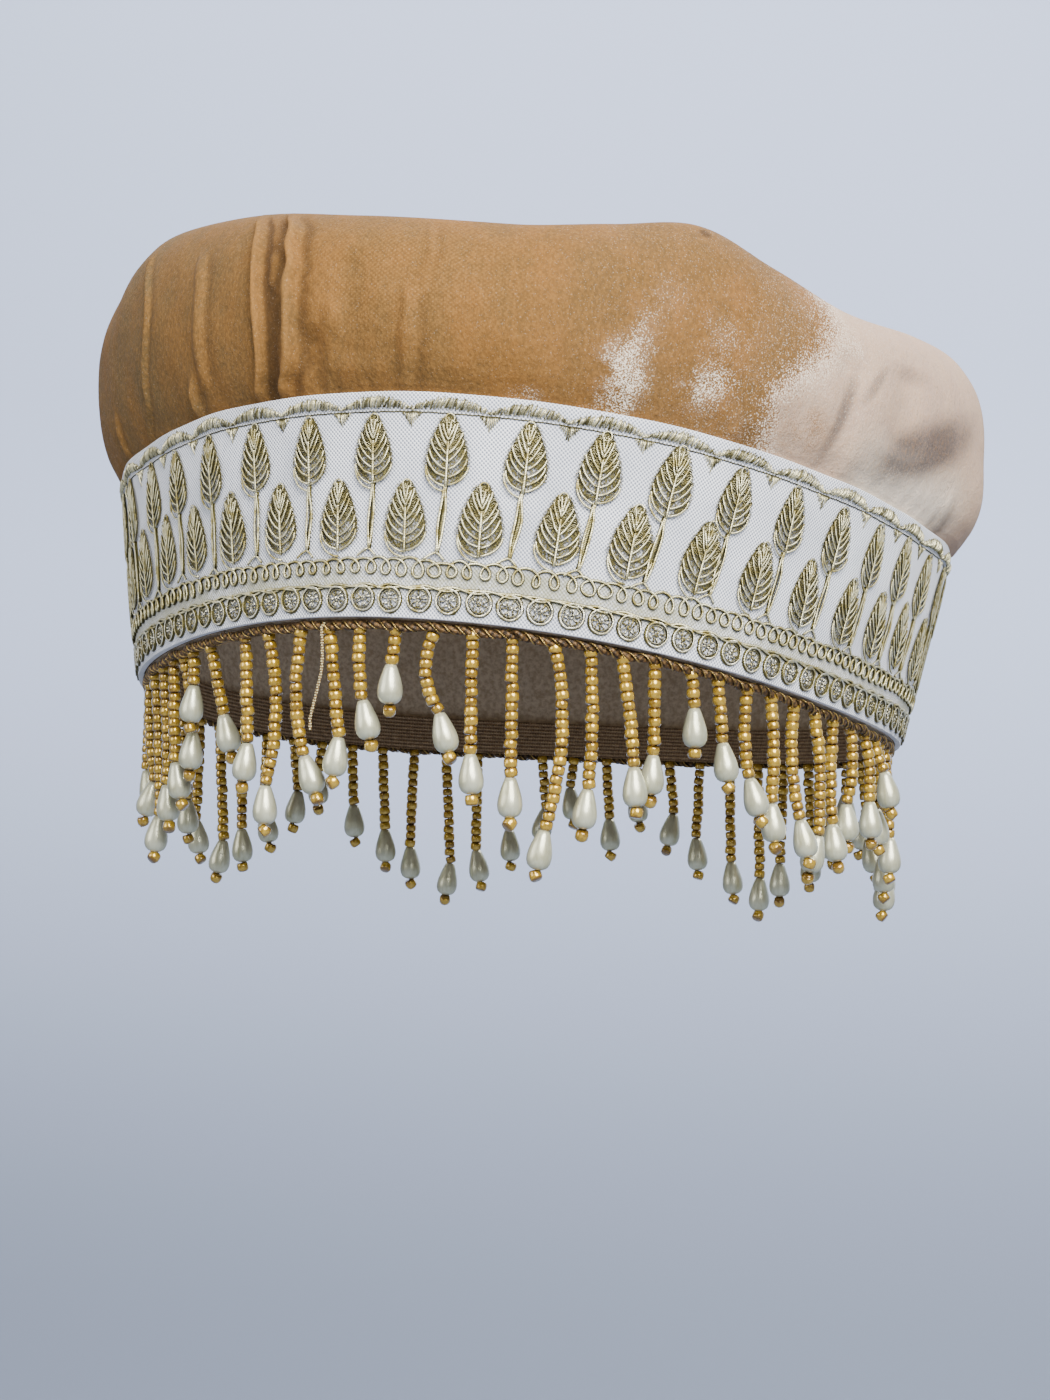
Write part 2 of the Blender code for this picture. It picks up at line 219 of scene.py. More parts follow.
HOLLOWS = (
    {"turn": -78, "width": 90, "lift": -4.2, "foot": 0.50, "head": 1.7, "fade": 0.45},
    {"turn": -78, "width": 80, "lift": 1.6, "foot": -0.15, "head": 0.95, "fade": 0.40},
    {"turn": 53, "width": 13, "lift": -1.1, "foot": -0.1, "head": 0.70},
    {"turn": 66, "width": 24, "lift": -1.5, "foot": 0.20, "head": 0.75},
    {"turn": 96, "width": 58, "lift": 2.4, "foot": -0.2, "head": 0.50, "fade": 0.35},
    {"turn": -10, "width": 16, "lift": -1.0, "foot": 0.10, "head": 0.75},
    {"turn": -12, "width": 7, "lift": 0.9, "foot": 0.24, "head": 0.50},
    {"turn": -15, "width": 9, "lift": -1.5, "foot": -0.1, "head": 0.36},
    {"turn": 150, "width": 48, "lift": -2.1, "foot": -0.1, "head": 1.0, "fade": 0.45},
    {"turn": -125, "width": 43, "lift": -2.1, "foot": -0.1, "head": 1.0, "fade": 0.45},
)
FORM_FADE = 0.12

# Fringe, as the solids have it
BRAID_WIDTH = 0.0036
BRAID_HEIGHT = 0.0030
TAPE_HEIGHT = 0.007
TAPE_THICKNESS = 0.0012
STRANDS = 67
LOST_STRAND = -6
FIRST_STRAND_ARC = -0.006
STRAND_SWAY = 0.0024
BEAD_PITCH = 0.0019
PEARL_LENGTH = 0.0084
PEARL_DIAMETER = 0.0053
END_BEAD = 0.0024
BEADS_IN_SCALLOP = (3, 7, 10, 12, 14, 12, 9, 6)
LAST_FRONT_STRAND = 17

# Strands by number from the front: beads, place off the even one in pitches, and the lean at the middle,
# at the top of the pearl and at the tip in STRAND_SWAYs
STRAND_ROUTES = {
    -13: (11, -0.2, 0.0, 0.4, -1.0),
    -12: (16, 0.25, 0.4, 0.4, -0.3),
    -11: (13, 0.45, 0.3, 0.3, 0.5),
    -10: (11, 0.5, 0.0, 0.1, 0.8),
    -9: (8, 0.25, 0.7, 0.9, 0.5),
    -8: (3, -0.05, 0.1, 0.1, -0.4),
    -7: (7, 0.05, 0.7, 1.2, 2.2),
    -5: (11, -0.1, 0.1, 0.2, -0.4),
    -4: (16, -0.1, 0.7, -0.3, -0.35),
    -3: (13, 0.2, -0.6, 0.1, 1.6),
    -2: (11, 0.12, 0.4, 0.8, 0.15),
    -1: (7, 0.05, -0.1, 0.2, 1.1),
    0: (3, 0.08, -0.25, -0.5, -0.65),
    1: (8, 0.12, -0.9, 0.3, 1.4),
    2: (12, 0.05, -0.1, -0.2, -0.05),
    3: (14, 0.05, -0.1, -0.2, -0.3),
    4: (19, 0.1, 0.6, -0.9, -1.8),
    5: (14, 0.0, 0.2, -0.2, -0.8),
    6: (11, -0.15, 0.6, 1.0, 1.2),
    7: (9, -0.25, 0.0, -0.1, -0.4),
    8: (3, -0.15, 0.2, 0.3, 0.4),
    9: (6, -0.25, 0.2, 0.4, 1.0),
    10: (9, -0.2, -0.2, 0.2, 1.5),
    11: (11, -0.25, 0.3, 0.1, 0.5),
    12: (12, -0.15, -0.2, 0.5, 1.5),
    13: (13, -0.1, 0.5, 0.4, -0.8),
    14: (11, 0.0, -0.2, -0.1, 0.5),
    15: (8, 0.1, 0.3, -0.3, -0.1),
    16: (7, 0.3, 0.5, 0.5, 0.7),
    17: (3, 0.25, 0.4, 1.0, 1.8),
}
OTHER_SWAYS = 0.5

# Embroidery: places up the ribbon, in shares of its height
LEAF_LINE = 0.73
TALL_LEAF_FOOT = 0.593
SMALL_LEAF_FOOT = 0.293
COIL_LINE = 0.222
DOUBLE_LINE = 0.133
RING_LINE = 0.080
TALL_LEAF_START = 0.0049      # arc from the front to the first tall leaf

# Camera, where the reference was taken from
CAMERA_PLACE = (0.1727, -0.7422, 0.0011)
CAMERA_TURN = 13
CAMERA_LENS = 84.86


def srgb(*levels):
    """Linear colour of three 0 to 255 levels as a screen shows them."""
    shares = [level / 255 for level in levels]
    return tuple(s / 12.92 if s < 0.04045 else ((s + 0.055) / 1.055) ** 2.4 for s in shares)


# Cap's shape


def smooth(share):
    share = np.clip(share, 0.0, 1.0)
    return share * share * (3 - 2 * share)


def eased(rows, at, period=None):
    """Values at places in a table of (place, value) rows, eased; period closes the table on itself."""
    places, values = np.array(rows, float).T
    at = np.asarray(at, float)
    if period:
        at = (at - places[0]) % period + places[0]
        places = np.concatenate(([places[-1] - period], places, places[:2] + period))
        values = np.concatenate((values[-1:], values, values[:2]))
    at = np.clip(at, places[0], places[-1])
    last = len(places) - 1
    index = np.arange(last + 1)
    before, after = np.maximum(index - 1, 0), np.minimum(index + 1, last)
    slopes = (values[after] - values[before]) / (places[after] - places[before])
    i = np.clip(np.searchsorted(places, at, side="right") - 1, 0, last - 1)
    span = places[i + 1] - places[i]
    t = (at - places[i]) / span
    start = (1 + 2 * t) * (1 - t) ** 2 * values[i] + t * (1 - t) ** 2 * span * slopes[i]
    end = t * t * (3 - 2 * t) * values[i + 1] + t * t * (t - 1) * span * slopes[i + 1]
    return start + end


WORN = np.array(Euler((math.radians(-TILT_BACK), math.radians(TILT_SIDE), 0.0)).to_matrix())


def rim_point(turn, out=0.0, rise=0.0):
    """Points at turns, reaching out from the rim's outer line and rising from it, with the cap as worn."""
    angle = np.radians(turn)
    lobe = 1 + LOBE_SHARE * np.cos(3 * (angle - math.radians(LOBE_TURN)))
    x = RIM_WIDTH / 2 * np.sin(angle) * lobe
    y = -RIM_LENGTH / 2 * np.cos(angle) * lobe
    radius = np.hypot(x, y)
    grown = (radius + out) / radius
    z = RIM_WAVE * np.cos(2 * (angle - math.radians(RIM_WAVE_TURN))) + rise
    flat = np.stack(np.broadcast_arrays(x * grown, y * grown, z), axis=-1)
    return flat @ WORN.T


def arc_table(out, rise):
    """Turns, and the arc length from the front to each along a line round the cap."""
    turns = np.linspace(-180, 180, 1441)
    points = rim_point(turns, out, rise)
    arcs = np.concatenate(([0.0], np.cumsum(np.linalg.norm(np.diff(points, axis=0), axis=1))))
    return turns, arcs - np.interp(0.0, turns, arcs)


LEAF_TURNS, LEAF_ARCS = arc_table(RIBBON_HEIGHT * LEAF_LINE * WALL_FLARE, RIBBON_HEIGHT * LEAF_LINE)
LEAF_GIRTH = LEAF_ARCS[-1] - LEAF_ARCS[0]


def turn_of(arc):
    """Turn of an arc length along the ribbon's leaf line."""
    return np.interp((np.asarray(arc) - LEAF_ARCS[0]) % LEAF_GIRTH + LEAF_ARCS[0], LEAF_ARCS, LEAF_TURNS)


def ribbon_swell(turn, height):
    """Soft unevenness of the ribbon's face, in metres."""
    angle = np.radians(turn)
    slack = 0.28 * np.sin(11 * angle + 2.0) + 0.20 * np.sin(23 * angle + 0.7 + 40 * height)
    return MM * slack * smooth(height / RIBBON_HEIGHT * 1.6) * 0.8


def ribbon_place(arc, height, lift=0.0):
    """Points on the ribbon at an arc along it, a height up it and a lift off its face."""
    turn = turn_of(arc)
    on_hem = HEM_STEP * smooth((np.asarray(height) - (RIBBON_HEIGHT - HEM_HEIGHT)) / (1.8 * MM))
    out = np.asarray(height) * WALL_FLARE + ribbon_swell(turn, height) + on_hem + lift
    return rim_point(turn, out, height)


def ribbon_facing(arc, height, spin=0.0):
    """Turn of a motif laid on the ribbon: its X runs round the cap, its Y up and its Z out. spin is in degrees."""
    step = 0.5 * MM
    right = ribbon_place(arc + step, height) - ribbon_place(arc - step, height)
    up = ribbon_place(arc, height + step) - ribbon_place(arc, height - step)
    right /= np.linalg.norm(right)
    out = np.cross(right, up)
    out /= np.linalg.norm(out)
    laid = Matrix(np.array([right, np.cross(out, right), out]).T.tolist())
    return laid @ Matrix.Rotation(math.radians(spin), 3, "Z")


def crown_rise(turn):
    return CROWN_HEIGHT * eased(CROWN_LINE, turn, 360)


def arc_gap(turn_a, turn_b):
    """Signed arc in metres between turns, short enough to take as straight."""
    gap = (turn_b - turn_a + 180) % 360 - 180
    return np.radians(gap) * (RIM_WIDTH + RIM_LENGTH) / 4 * 1.1


def hollows(turn, share):
    total = 0.0
    for form in HOLLOWS:
        across = np.minimum(1.0, np.abs(arc_gap(form["turn"], turn)) / (form["width"] * MM / 2))
        fade = form.get("fade", FORM_FADE)
        reach = smooth((share - form["foot"]) / fade) * smooth((form["head"] - share) / fade)
        total = total + form["lift"] * MM * (0.5 + 0.5 * np.cos(math.pi * across)) * reach
    return total


def tucks(turn, share):
    """Lift of the standing tucks, and how near each point is to a crest, 1, or to a crease beside one, -1."""
    lift, crease = 0.0, 0.0
    for form in TUCKS:
        middle = eased(form["path"], share)
        uneven = 1 + 0.08 * np.sin(19 * share + form["path"][0][1]) + 0.05 * np.sin(53 * share)
        side = arc_gap(middle, turn) / (form["width"] * MM * uneven)
        across = np.abs(side)
        crest = (0.5 + 0.5 * np.cos(math.pi * np.minimum(1.0, across))) ** 0.8
        dark = np.where(side < 0, *form.get("dark", (0.1, 0.4)))
        beside = dark * np.exp(-(((across - 1.5) / 0.70) ** 2))
        reach = smooth((share - form["foot"]) / FORM_FADE) * smooth((form["head"] - share) / FORM_FADE)
        lift = lift + form["lift"] * MM * (crest - 0.25 * beside) * reach
        crease = crease + (min(1.0, form["lift"] / 2.4) * crest - beside) * reach
    return lift, crease


def rumples(turn, share):
    """Small soft unevenness of the velvet."""
    angle = np.radians(turn)
    wide = 0.45 * np.sin(7 * angle + 1.3 + 2 * share) * np.sin(3.1 * share + angle)
    small = 0.16 * np.sin(31 * angle + 5 * share) * np.sin(9 * share + 4 * angle)
    gathers = 0.18 * np.sin(83 * angle + 2 * np.sin(9 * angle)) * np.exp(-share / 0.10)
    return MM * (wide + small + gathers) * smooth((1 - share) / 0.2)


def velvet_line(turn, share):
    """Out and rise of the velvet's outer face, without tucks; share 0 is the ribbon's top, 1 the top seam."""
    line = RIBBON_HEIGHT * WALL_FLARE - RIBBON_THICKNESS - LAYER_GAP
    over = np.maximum(0.0, (share - SHOULDER_FOOT) / (1 - SHOULDER_FOOT))
    turn_in = SHOULDER_TURN_IN * eased(SHOULDER_LINE, turn, 360) * over * over
    out = line + CROWN_BULGE * eased(CROWN_PROFILE, share) - turn_in + hollows(turn, share)
    return out, RIBBON_HEIGHT + (crown_rise(turn) - RIBBON_HEIGHT) * share


def velvet_face(turn, share, thickness):
    """Points on the velvet, a thickness in from its outer face; the outer face carries the tucks and rumples."""
    out, rise = velvet_line(turn, share)
    if thickness == 0:
        return rim_point(turn, out + tucks(turn, share)[0] + rumples(turn, share), rise)
    step = 0.02
    low, high = velvet_line(turn, share - step), velvet_line(turn, np.minimum(1.0, share + step))
    way_out, way_up = high[0] - low[0], high[1] - low[1]
    length = np.hypot(way_out, way_up)
    return rim_point(turn, out - thickness * way_up / length, rise + thickness * way_out / length)


# Meshes


def link_piece(name, mesh, *finishes):
    for finish in finishes:
        mesh.materials.append(finish)
    piece = bpy.data.objects.new(name, mesh)
    bpy.context.scene.collection.objects.link(piece)
    return piece


def smooth_mesh(mesh, sharp=None):
    mesh.shade_smooth()
    if sharp:
        mesh.set_sharp_from_angle(angle=math.radians(sharp))


def skin(name, rows, coordinates=None, closed=True, faces_swapped=False):
    """Mesh of quads between rows of points, round the cap, and from the last row to the first if closed.

    coordinates gives each point's place on the cloth, for its UV map, with one more column than the points."""
    rows = np.asarray(rows)
    count, columns = rows.shape[:2]
    low = np.arange(count if closed else count - 1)
    i, j = np.meshgrid(low, np.arange(columns), indexing="ij")
    high, after = (i + 1) % count, (j + 1) % columns
    corners = [(i, j), (i, after), (high, after), (high, j)]
    wrapped = [(i, j), (i, j + 1), (high, j + 1), (high, j)]
    if faces_swapped:
        corners.reverse()
        wrapped.reverse()
    faces = np.stack([a * columns + b for a, b in corners], axis=-1).reshape(-1, 4)
    mesh = bpy.data.meshes.new(name)
    mesh.from_pydata(rows.reshape(-1, 3).tolist(), [], faces.tolist())
    if coordinates is not None:
        coordinates = np.asarray(coordinates)
        layer = mesh.uv_layers.new(name="cloth")
        places = np.stack([coordinates[a, b] for a, b in wrapped], axis=-2).reshape(-1, 2)
        layer.data.foreach_set("uv", places.ravel())
    return mesh


def lathe(name, profile, sides):
    """Closed mesh turned round Z from (radius, height) rows, from its foot to its head."""
    points = []
    for radius, height in profile[1:-1]:
        for k in range(sides):
            angle = 2 * math.pi * k / sides
            points.append((radius * math.cos(angle), radius * math.sin(angle), height))
    foot, head = len(points), len(points) + 1
    points += [(0, 0, profile[0][1]), (0, 0, profile[-1][1])]
    faces = []
    rings = len(profile) - 2
    for k in range(sides):
        after = (k + 1) % sides
        faces.append((foot, after, k))
        faces.append((head, (rings - 1) * sides + k, (rings - 1) * sides + after))
        for ring in range(rings - 1):
            a, b = ring * sides, (ring + 1) * sides
            faces.append((a + k, a + after, b + after, b + k))
    mesh = bpy.data.meshes.new(name)
    mesh.from_pydata(points, [], faces)
    smooth_mesh(mesh)
    return mesh


class Wires:
    """Collects bent wires laid on a flat ground, and makes one mesh of them.

    Its points keep their length along their wire, and how near they are to the wire's upper side, as attributes; the
    latter paints a highlight on a wire's upper side and shade on its sides."""

    def __init__(self):
        self.points = []
        self.faces = []
        self.along = []
        self.crown = []

    def add(self, path, radius, sides=5, closed=False, flat=0.75, gleam=1.0):
        """One wire through (x, y, z) points; flat is its height as a share of its width, and gleam how bright
        the highlight painted on its upper side is; a low gleam paints the whole wire in shade."""
        path = np.array(path, float)
        ahead = np.roll(path, -1, axis=0) - np.roll(path, 1, axis=0)
        if not closed:
            ahead[0], ahead[-1] = path[1] - path[0], path[-1] - path[-2]
        ahead /= np.linalg.norm(ahead, axis=1)[:, None]
        side = np.cross(ahead, (0.0, 0.0, 1.0))
        side /= np.linalg.norm(side, axis=1)[:, None]
        up = np.cross(side, ahead)
        lengths = np.concatenate(([0.0], np.cumsum(np.linalg.norm(np.diff(path, axis=0), axis=1))))
        start, count = len(self.points), len(path)
        for centre, s, u, length in zip(path, side, up, lengths):
            for k in range(sides):
                angle = 2 * math.pi * k / sides
                self.points.append(centre + radius * (s * math.cos(angle) + u * math.sin(angle) * flat))
                self.along.append(length)
                # Painted highlight on the upper side, scaled by gleam.
                self.crown.append(gleam * max(0.0, math.sin(angle)))
        last = count if closed else count - 1
        for i in range(last):
            a, b = start + i * sides, start + (i + 1) % count * sides
            for k in range(sides):
                after = (k + 1) % sides
                self.faces.append((a + k, b + k, b + after, a + after))
        if not closed:
            self.faces.append(tuple(start + k for k in range(sides)))
            self.faces.append(tuple(start + (count - 1) * sides + k for k in reversed(range(sides))))

    def mesh(self, name):
        mesh = bpy.data.meshes.new(name)
        mesh.from_pydata([tuple(p) for p in self.points], [], self.faces)
        for label, values in (("along", self.along), ("crown", self.crown)):
            layer = mesh.attributes.new(label, "FLOAT", "POINT")
            layer.data.foreach_set("value", values)
        smooth_mesh(mesh)
        return mesh


def polylines(name, lines, closed=False):
    """Object of edges only, one chain of points for each line, for a tree that makes curves of them."""
    points, edges = [], []
    for line in lines:
        start = len(points)
        points += [tuple(p) for p in line]
        edges += [(k, k + 1) for k in range(start, len(points) - 1)]
        if closed:
            edges.append((len(points) - 1, start))
    mesh = bpy.data.meshes.new(name)
    mesh.from_pydata(points, edges, [])
    return link_piece(name, mesh)


def marks(name, places, facings, sizes=None):
    """Object of loose points with the turn and size that a motif takes at each."""
    mesh = bpy.data.meshes.new(name)
    mesh.from_pydata([tuple(p) for p in places], [], [])
    facing = mesh.attributes.new("facing", "FLOAT_VECTOR", "POINT")
    facing.data.foreach_set("vector", [c for f in facings for c in f.to_euler()])
    size = mesh.attributes.new("size", "FLOAT_VECTOR", "POINT")
    if sizes is None:
        sizes = [(1.0, 1.0, 1.0)] * len(places)
    size.data.foreach_set("vector", [c for s in sizes for c in s])
    return link_piece(name, mesh)


# Nodes


class Socket:
    """One socket of a shader or geometry tree. Sums and products of sockets in Python add Math nodes."""

    def __init__(self, tree, socket):
        self.tree = tree
        self.socket = socket

    def node(self, kind, settings=None, inputs=None, output=0):
        """Adds any node: its settings first, with "stops" for a ramp's, then its sockets' values or links."""
        node = self.tree.nodes.new(kind)
        for name, value in (settings or {}).items():
            if name == "stops":
                fill_ramp(node.color_ramp, value)
            else:
                setattr(node, name, value)
        for name, value in (inputs or {}).items():
            for one in value if isinstance(value, list) else [value]:
                if isinstance(one, Socket):
                    self.tree.links.new(one.socket, node.inputs[name])
                else:
                    node.inputs[name].default_value = one
        return Socket(self.tree, node.outputs[output])

    def other(self, output):
        """Another output of the same node."""
        return Socket(self.tree, self.socket.node.outputs[output])

    def math(self, operation, *values):
        return self.node("ShaderNodeMath", {"operation": operation}, dict(enumerate(values)))

    def __add__(self, other):
        return self.math("ADD", self, other)

    __radd__ = __add__

    def __sub__(self, other):
        return self.math("SUBTRACT", self, other)

    def __rsub__(self, other):
        return self.math("SUBTRACT", other, self)

    def __mul__(self, other):
        return self.math("MULTIPLY", self, other)

    __rmul__ = __mul__

    def __truediv__(self, other):
        return self.math("DIVIDE", self, other)

    def __pow__(self, other):
        return self.math("POWER", self, other)

    def sine(self):
        return self.math("SINE", self)

    def distance(self):
        return self.math("ABSOLUTE", self)

    def between(self, low, high):
        """0 below low, 1 above high, and eased between them."""
        return self.node(
            "ShaderNodeMapRange",
            {"interpolation_type": "SMOOTHSTEP"},
            {"Value": self, "From Min": low, "From Max": high},
        )

    def tint(self, colour_a, colour_b):
        """Colour a where this is 0 and colour b where it is 1."""
        ends = [c if isinstance(c, Socket) else (*c, 1.0) for c in (colour_a, colour_b)]
        return self.node("ShaderNodeMix", {"data_type": "RGBA"}, {0: self, 6: ends[0], 7: ends[1]}, output=2)

    def noise(self, scale, detail=3.0, roughness=0.5):
        """Noise over a vector socket, about 0.5 on the whole; scale is in cells for each unit."""
        return self.node(
            "ShaderNodeTexNoise",
            inputs={"Vector": self, "Scale": scale, "Detail": detail, "Roughness": roughness},
        )

    def stretched(self, x, y, z):
        """A vector socket with its axes stretched."""
        return self.node("ShaderNodeMapping", inputs={"Vector": self, "Scale": (x, y, z)})

    def parts(self):
        """The three numbers of a vector socket."""
        split = self.node("ShaderNodeSeparateXYZ", inputs={0: self})
        return split, split.other(1), split.other(2)


def fill_ramp(ramp, stops):
    for extra in range(len(stops) - len(ramp.elements)):
        ramp.elements.new(1.0)
    for element, (place, colour) in zip(ramp.elements, stops):
        element.position = place
        element.color = (*colour, 1.0)


def start_finish(name):
    """A new material, its Principled shader, and a socket in its tree that new nodes are made from."""
    material = bpy.data.materials.new(name)
    material.use_nodes = True
    tree = material.node_tree
    shader = tree.nodes["Principled BSDF"]
    root = Socket(tree, shader.inputs[0])
    return material, shader, root


def dress(shader, **sockets):
    """Sets a shader's sockets, named with underscores, to values or links."""
    for name, value in sockets.items():
        socket = shader.inputs[name.replace("_", " ")]
        if isinstance(value, Socket):
            value.tree.links.new(value.socket, socket)
        elif isinstance(value, tuple) and len(value) == 3:
            socket.default_value = (*value, 1.0)
        else:
            socket.default_value = value


def bump(height, distance, strength=1.0, below=None):
    inputs = {"Height": height, "Distance": distance, "Strength": strength}
    if below is not None:
        inputs["Normal"] = below
    return height.node("ShaderNodeBump", inputs=inputs)


def on_object(root):
    return root.node("ShaderNodeTexCoord").other("Object")


def on_cloth(root):
    return root.node("ShaderNodeUVMap", {"uv_map": "cloth"})


def attribute(root, name):
    return root.node("ShaderNodeAttribute", {"attribute_name": name}).other("Fac")


# Finishes


def velvet_finish(settings):
    """Tan velvet: darker to the left, partly from its pile and partly by painted shade, with painted sheen where the
    pile lies the other way, crushed patches with painted glints, and painted highlight and shade at the tucks.
    """
    material, shader, root = start_finish("velvet")
    place = on_object(root)
    turn, share, _ = on_cloth(root).parts()
    turn = turn * 360 - 180
    crease = attribute(root, "crease")
    cloud = place.stretched(1.0, 1.0, 0.5).noise(32, 3)
    mottle = place.noise(130, 4, 0.6)
    brushed = place.stretched(1.0, 1.0, 0.25).noise(110, 3, 0.6)
    nap = place.stretched(1.0, 1.0, 0.6).noise(1500, 3, 0.7)
    fleck = place.noise(3000, 2, 0.6)

    tone = (cloud * 0.4 + mottle * 0.25 + brushed * 0.35).between(0.40, 0.60)
    tan = tone.tint(settings.shade, settings.pile)
    on_top = share.between(1.02, 1.08)
    across, _, _ = place.parts()
    # Painted shade, partly the pile's own darker tone: the velvet darkens to the left of the front and over the left
    # half of the top panel.
    left = turn.between(-10, -50) * turn.between(-178, -140) * (1 - on_top) + across.between(0.02, -0.08) * on_top
    tan = (left * 0.9).tint(tan, tone.tint(settings.left_shade, settings.shade))

    # Painted sheen: a silvery area right of a ragged border where the pile lies the other way, broken by speckled gaps
    # near the ribbon.
    border = share.between(0.2, 0.75) * 7.5 + 41.3
    edge = turn - border + (mottle - 0.5) * 9 + (fleck - 0.5) * 16
    painted_sheen_area = edge.between(-1.5, 2.0) * (1 - turn.between(128, 160)) * (1 - on_top)
    sheen_gaps = spot(turn, share, 46.5, 0.18, 6.0, 0.20)
    painted_sheen_area = painted_sheen_area * (1 - sheen_gaps * (fleck * 0.7 + mottle * 0.3).between(0.45, 0.56) * 0.85)
    painted_sheen = tone.tint(settings.sheen_shade, settings.sheen)
    painted_sheen = ((1 - fleck.between(0.32, 0.5)) * 0.35).tint(painted_sheen, settings.sheen_shade)
    # Painted light: the sheen is lightened towards the glint colour low down on the right.
    low = (1 - share.between(0.05, 0.40)) * turn.between(54, 62) * (1 - turn.between(82, 94))
    painted_sheen = (low * 0.75).tint(painted_sheen, settings.glint)
    # Painted shade: a fold line, a dent, low creases and the far right darken the sheen towards grey.
    fold = spot(turn - (share - 0.3) * 5, share, 52.6, 0.30, 1.5, 0.34) * 0.7
    fold = fold + spot(turn - (share - 0.5) * 16, share, 57.0, 0.55, 1.4, 0.16) * 0.5
    painted_dent_shade = spot(turn - (share - 0.33) * 42, share, 73.0, 0.33, 11.0, 0.33) * (0.6 + cloud.between(0.35, 0.6) * 0.4)
    painted_dent_shade = painted_dent_shade + spot(turn, share, 86.0, 0.02, 5.0, 0.14) * 0.5 + turn.between(80, 104) * 0.25
    dark = fold * (0.5 + fleck) + painted_dent_shade * (0.40 + fleck * 1.2)
    painted_sheen = dark.math("MINIMUM", dark, 0.85).tint(painted_sheen, settings.painted_dent_shade)
    colour = painted_sheen_area.tint(tan, painted_sheen)

    # Crushed pile, which gets painted glints and a painted veil of sheen.
    density = edge.between(-13, -1) * 0.22 + painted_sheen_area * (1 - edge.between(3, 9)) * 0.55 + turn.between(8, 24) * 0.10
    for at_turn, at_share, wide, tall, most in CRUSHED:
        density = density + spot(turn + (mottle - 0.5) * 9, share, at_turn, at_share, wide, tall) * most
    density = density * (1 - turn.between(58, 66)) * (1 - on_top)
    glints = (fleck + density * 0.15).between(0.62, 0.73)
    sheen_veil = density.math("MINIMUM", density, 1.0) * (mottle * 0.5 + fleck * 0.5).between(0.36, 0.60)
    colour = (sheen_veil * 0.30).tint(colour, settings.sheen)

    knit = (turn * settings.knit_turns).sine() * (share * settings.knit_shares).sine()
    knit_shown = spot(turn, share, -3.0, 0.62, 19.0, 0.48) * (0.10 + mottle * 0.35) + 0.03
    colour = (knit.between(-0.1, 0.8) * knit_shown).tint(colour, settings.pile_tip)
    colour = (nap.between(0.40, 0.70) * 0.30).tint(colour, settings.pile_tip)
    colour = ((1 - nap.between(0.30, 0.50)) * 0.30).tint(colour, settings.left_shade)
    # Painted highlight on the tucks' crests.
    colour = (crease.between(0.3, 0.9) * 0.22).tint(colour, settings.pile_tip)
    # Painted shade in a small pucker at the top seam.
    pucker_shade = spot(turn, share, 31.2, 0.93, 1.1, 0.035) * 0.7
    colour = pucker_shade.tint(colour, settings.crease)
    # Painted shade in the creases beside the tucks.
    colour = ((1 - crease.between(-0.95, 0.0)) * 0.72).tint(colour, settings.crease)
    # Painted glints on the crushed pile.
    colour = (glints * (0.12 + density * 0.6)).tint(colour, settings.glint)

    dents = bump(mottle, 0.0012, 0.5)
    dress(
        shader,
        Base_Color=colour,
        Roughness=0.9 - glints * 0.4,
        Normal=bump(nap, 0.0003, 0.8, dents),
        Sheen_Weight=settings.sheen_weight,
        Sheen_Roughness=0.4,
        Sheen_Tint=(*settings.sheen, 1.0),
        Specular_IOR_Level=0.2,
    )
    return material


# Crushed patches of the velvet, where glints and sheen are painted: turn, share of its height, half their width and
# height, and how crushed
CRUSHED = (
    (23.0, 0.18, 3.6, 0.20, 1.0),
    (24.4, 0.38, 2.6, 0.14, 0.55),
    (20.8, 0.03, 3.4, 0.07, 0.7),
    (27.0, 0.56, 3.0, 0.14, 0.18),
    (32.5, 0.20, 3.2, 0.14, 0.75),
    (33.5, 0.44, 2.6, 0.12, 0.3),
    (11.5, 0.03, 3.0, 0.05, 0.5),
)


def spot(turn, share, at_turn, at_share, wide, tall):
    """Soft oval on the velvet: 1 at its middle and 0 past its half width and height."""
    across = (turn - at_turn) / wide
    up = (share - at_share) / tall
    return 1 - ((across * across + up * up) ** 0.5).between(0.25, 1.15)


def lining_finish(settings):
    """The velvet's woven back, which shows inside the crown."""
    material, shader, root = start_finish("velvet back")
    place = on_object(root)
    threads = place.noise(900, 2, 0.6)
    colour = threads.between(0.3, 0.7).tint(settings.back_shade, settings.back)
    dress(shader, Base_Color=colour, Roughness=0.9, Normal=bump(threads, 0.0002, 0.6))
    return material


def ribbon_finish(settings):
    """White plain-woven ribbon, with a faint gold haze under the lower stitching."""
    material, shader, root = start_finish("ribbon cloth")
    place = on_object(root)
    along, up, _ = on_cloth(root).parts()
    turns = 2 * math.pi / settings.weave
    warp = (along * turns).sine()
    weft = (up * turns).sine()
    weave = (warp * weft).between(-0.9, 0.9)
    drift = place.noise(60, 3)
    fibre = place.noise(2400, 2, 0.6)
    cloth = (weave * 0.75 + fibre * 0.25).between(0.15, 0.62).tint(settings.cloth_shade, settings.cloth)
    cloth = (drift.between(0.35, 0.75) * 0.35).tint(cloth, settings.cloth_shade)
    height = up / RIBBON_HEIGHT
    haze = height.between(0.085, 0.125) * (1 - height.between(0.22, 0.27))
    colour = (haze * (fibre * 0.6 + drift * 0.4).between(0.32, 0.60) * 0.8).tint(cloth, settings.haze)
    dress(
        shader,
        Base_Color=colour,
        Roughness=0.75,
        Sheen_Weight=0.15,
        Normal=bump(weave, 0.00016, 0.9, bump(drift, 0.0008, 0.3)),
    )
    return material


